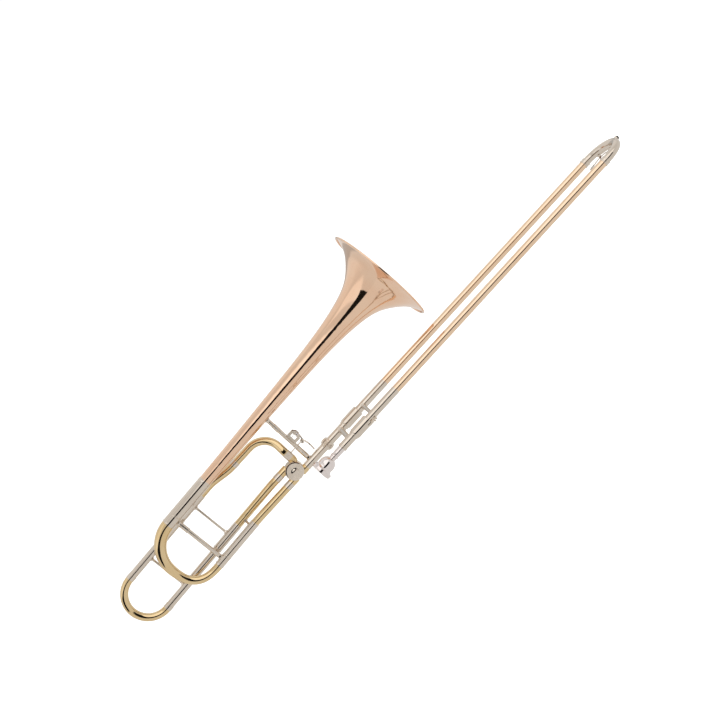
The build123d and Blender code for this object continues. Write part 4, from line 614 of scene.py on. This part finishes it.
MAIN_BRACE_A = -287.1
piece("main_brace_sleeves", [
    sleeve(raked(MAIN_BRACE_A, 93.0), BELL_UP, 19.0, 4.15, 4.95, (1.6, 17.2)),
    ring_at(raked(MAIN_BRACE_A, 24.2), BELL_UP, 4.15),
    ring_at(raked(MAIN_BRACE_A, 21.0), BELL_UP, 4.15),
], "nickel_silver", "main_tuning_slide")

ACROSS = Vector((0, 1, 0))  # from one leg of the hand slide to the other
INNER_BRACE_X = 36.5
HAND_BRACE_X = 97.0
hand_rings, grip_rings = [], []
for offset in (16.2, 75.8):
    hand_rings.append(ring_at(Vector((INNER_BRACE_X, -offset, 0)) * MM, ACROSS, 4.95, 0.55, 2.0))
for offset in (14.6, 77.4):
    grip_rings.append(ring_at(Vector((HAND_BRACE_X, -offset, 0)) * MM, ACROSS, 3.65, 0.5, 1.8))
piece("inner_brace_rings", hand_rings, "nickel_silver", "hand_slide_frame")
piece("hand_brace_rings", grip_rings, "nickel_silver", "outer_slide")

F_OUT = -20.5  # the F tubing lies behind the bell's plane by this much
F_RECEIVER_BRACE_A = -249.0
F_SLIDE_BRACE_A = -373.5
f_rings = [ring_at(raked(F_RECEIVER_BRACE_A, b, F_OUT), BELL_UP, 2.25, 0.4, 1.4) for b in (40.5, 102.6)]
piece("f_receiver_brace_rings", f_rings, "nickel_silver", "bell_section")
f_rings = [ring_at(raked(F_SLIDE_BRACE_A, b, F_OUT), BELL_UP, 2.25, 0.4, 1.4) for b in (39.6, 103.6)]
piece("f_slide_brace_rings", f_rings, "nickel_silver", "f_tuning_slide")

# ================================================================ rubber bumper and water-key spring
bumper_low, bumper_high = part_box("bumper")
bumper_middle = (bumper_low + bumper_high) / 2
bumper_base = Vector((bumper_low.x, bumper_middle.y, bumper_middle.z))
bumper_long = (bumper_high.x - bumper_low.x) / MM
piece("bumper_moulded", [lathe([
    (0, 0), (0, 3.95), (1.9, 3.95), (2.05, 3.7), (2.25, 3.7), (2.4, 3.95), (3.1, 3.95), (3.25, 3.7),
    (3.45, 3.7), (3.6, 3.9), (4.2, 3.55), (4.7, 2.9),
    (bumper_long - 0.18, 1.9), (bumper_long, 0.9), (bumper_long, 0),
], facing(bumper_base, ALONG, OUTWARD), 48)], "black_rubber", "outer_slide", "bumper")

KEY_AXIS = Vector(joints["water_key_press"]["axis"])
KEY_PIVOT = Vector(joints["water_key_press"]["pos_m"])
coil.grow("water_key_spring_coil", facing(KEY_PIVOT - KEY_AXIS * 4.25 * MM, -KEY_AXIS), "outer_slide",
          "water_key_spring", Turns=4.0, Radius=1.42 * MM, Length=2.6 * MM, Wire=0.3 * MM)


# ================================================================ studio
CAMERA_PLACE = Vector((0.0854, -2.0033, 0.5458))
CAMERA_FORWARD = Vector((0.033945, 0.971570, -0.234307))
SLIDE_RIGHT = Vector((0.999417, -0.033848, 0.004436))
SLIDE_UP = Vector((0.003621, 0.234321, 0.972152))
CAMERA_ROLL = radians(47.2)
CAMERA_LENS = 55.6


def build_camera():
    """The camera stands on the player's side and is rolled, so that the slide points up and right."""
    camera = bpy.data.objects.new("camera", bpy.data.cameras.new("camera"))
    bpy.context.scene.collection.objects.link(camera)
    right = SLIDE_RIGHT * cos(CAMERA_ROLL) - SLIDE_UP * sin(CAMERA_ROLL)
    up = SLIDE_RIGHT * sin(CAMERA_ROLL) + SLIDE_UP * cos(CAMERA_ROLL)
    camera.matrix_world = placed(CAMERA_PLACE, right, up, -CAMERA_FORWARD)
    camera.data.lens = CAMERA_LENS
    camera.data.sensor_width = 36.0
    camera.data.clip_start = 0.05
    camera.data.clip_end = 60.0
    bpy.context.scene.camera = camera


def build_world():
    """A white room: bright panels above in front, at the side and behind, and a dark slot below them."""
    world = bpy.data.worlds.new("studio")
    bpy.context.scene.world = world
    shader = Shader(world)
    direction = shader.node("TexCoord", {}, output=0)
    split = shader.node("SeparateXYZ", {}, direction)
    x, y, z = (Socket(shader, split.socket.node.outputs[i]) for i in range(3))
    height = z.math("ARCSINE") * degrees(1.0)
    swing = x.math("ARCTAN2", y * -1.0) * degrees(1.0)  # 0 towards the camera's side
    behind = x.math("ARCTAN2", y) * degrees(1.0)
    panel = height.between(24.0, 74.0, 3.0) * swing.between(-8.0, 72.0, 8.0)
    side_panel = height.between(24.0, 70.0, 6.0) * swing.between(-85.0, -42.0, 14.0)
    back_panel = height.between(24.0, 70.0, 14.0) * behind.between(-55.0, 55.0, 30.0)
    slot = height.between(-14.0, 22.0, 1.2) * swing.between(-62.0, 50.0, 3.0)
    back_slot = height.between(-2.0, 14.0, 2.0) * behind.between(-30.0, 30.0, 6.0)
    light = 0.72 + panel * 0.50 + side_panel * 0.25 + back_panel * 0.12
    light = light * (1 - slot * 0.985) * (1 - back_slot * 0.3)
    seen = shader.node("LightPath", {}, output=0)
    room = shader.node("Background", {}, rgb(1.0, 0.985, 0.965), light)
    page = shader.node("Background", {}, rgb(1.0, 1.0, 1.0), 1.05)
    both = shader.node("MixShader", {}, seen, room, page)
    shader.node("OutputWorld", {}, both)


FLOOR_DROP = 0.32  # the instrument is held clear of the floor
FLOOR_SIZE = 24.0


def build_floor():
    """A plain pale floor below the instrument."""
    level = cad_box[0].z - FLOOR_DROP
    centre = (cad_box[0] + cad_box[1]) / 2
    mesh = bpy.data.meshes.new("floor")
    half = FLOOR_SIZE / 2
    square = ((-1, -1), (1, -1), (1, 1), (-1, 1))
    corners = [(centre.x + i * half, centre.y + j * half, level) for i, j in square]
    mesh.from_pydata(corners, [], [(0, 1, 2, 3)])
    floor = bpy.data.objects.new("floor", mesh)
    bpy.context.scene.collection.objects.link(floor)
    material = bpy.data.materials.new("pale_floor")
    shader = Shader(material)
    paint = shader.node("BsdfDiffuse", {}, rgb(0.90, 0.895, 0.885))
    glow = shader.node("Emission", {}, rgb(1.0, 0.995, 0.985), 0.42)
    bounced = shader.node("Emission", {}, rgb(1.0, 0.985, 0.965), 0.76)
    seen = shader.node("LightPath", {}, output=0)
    lit = shader.node("AddShader", {}, paint, glow)
    shader.finish(shader.node("MixShader", {}, seen, bounced, lit))
    mesh.materials.append(material)


def build_softbox():
    """A soft overhead light for the floor, the cork and the rubber."""
    data = bpy.data.lights.new("softbox", "AREA")
    data.shape = "RECTANGLE"
    data.size = 2.4
    data.size_y = 1.6
    data.energy = 60.0
    softbox = bpy.data.objects.new("softbox", data)
    bpy.context.scene.collection.objects.link(softbox)
    place = Vector((0.1, -1.6, 2.2))
    softbox.matrix_world = facing(place, place - Vector((0.25, 0.0, 0.05)))
    softbox.visible_glossy = False


build_camera()
build_world()
build_floor()
build_softbox()
bpy.context.scene.view_settings.view_transform = "Standard"
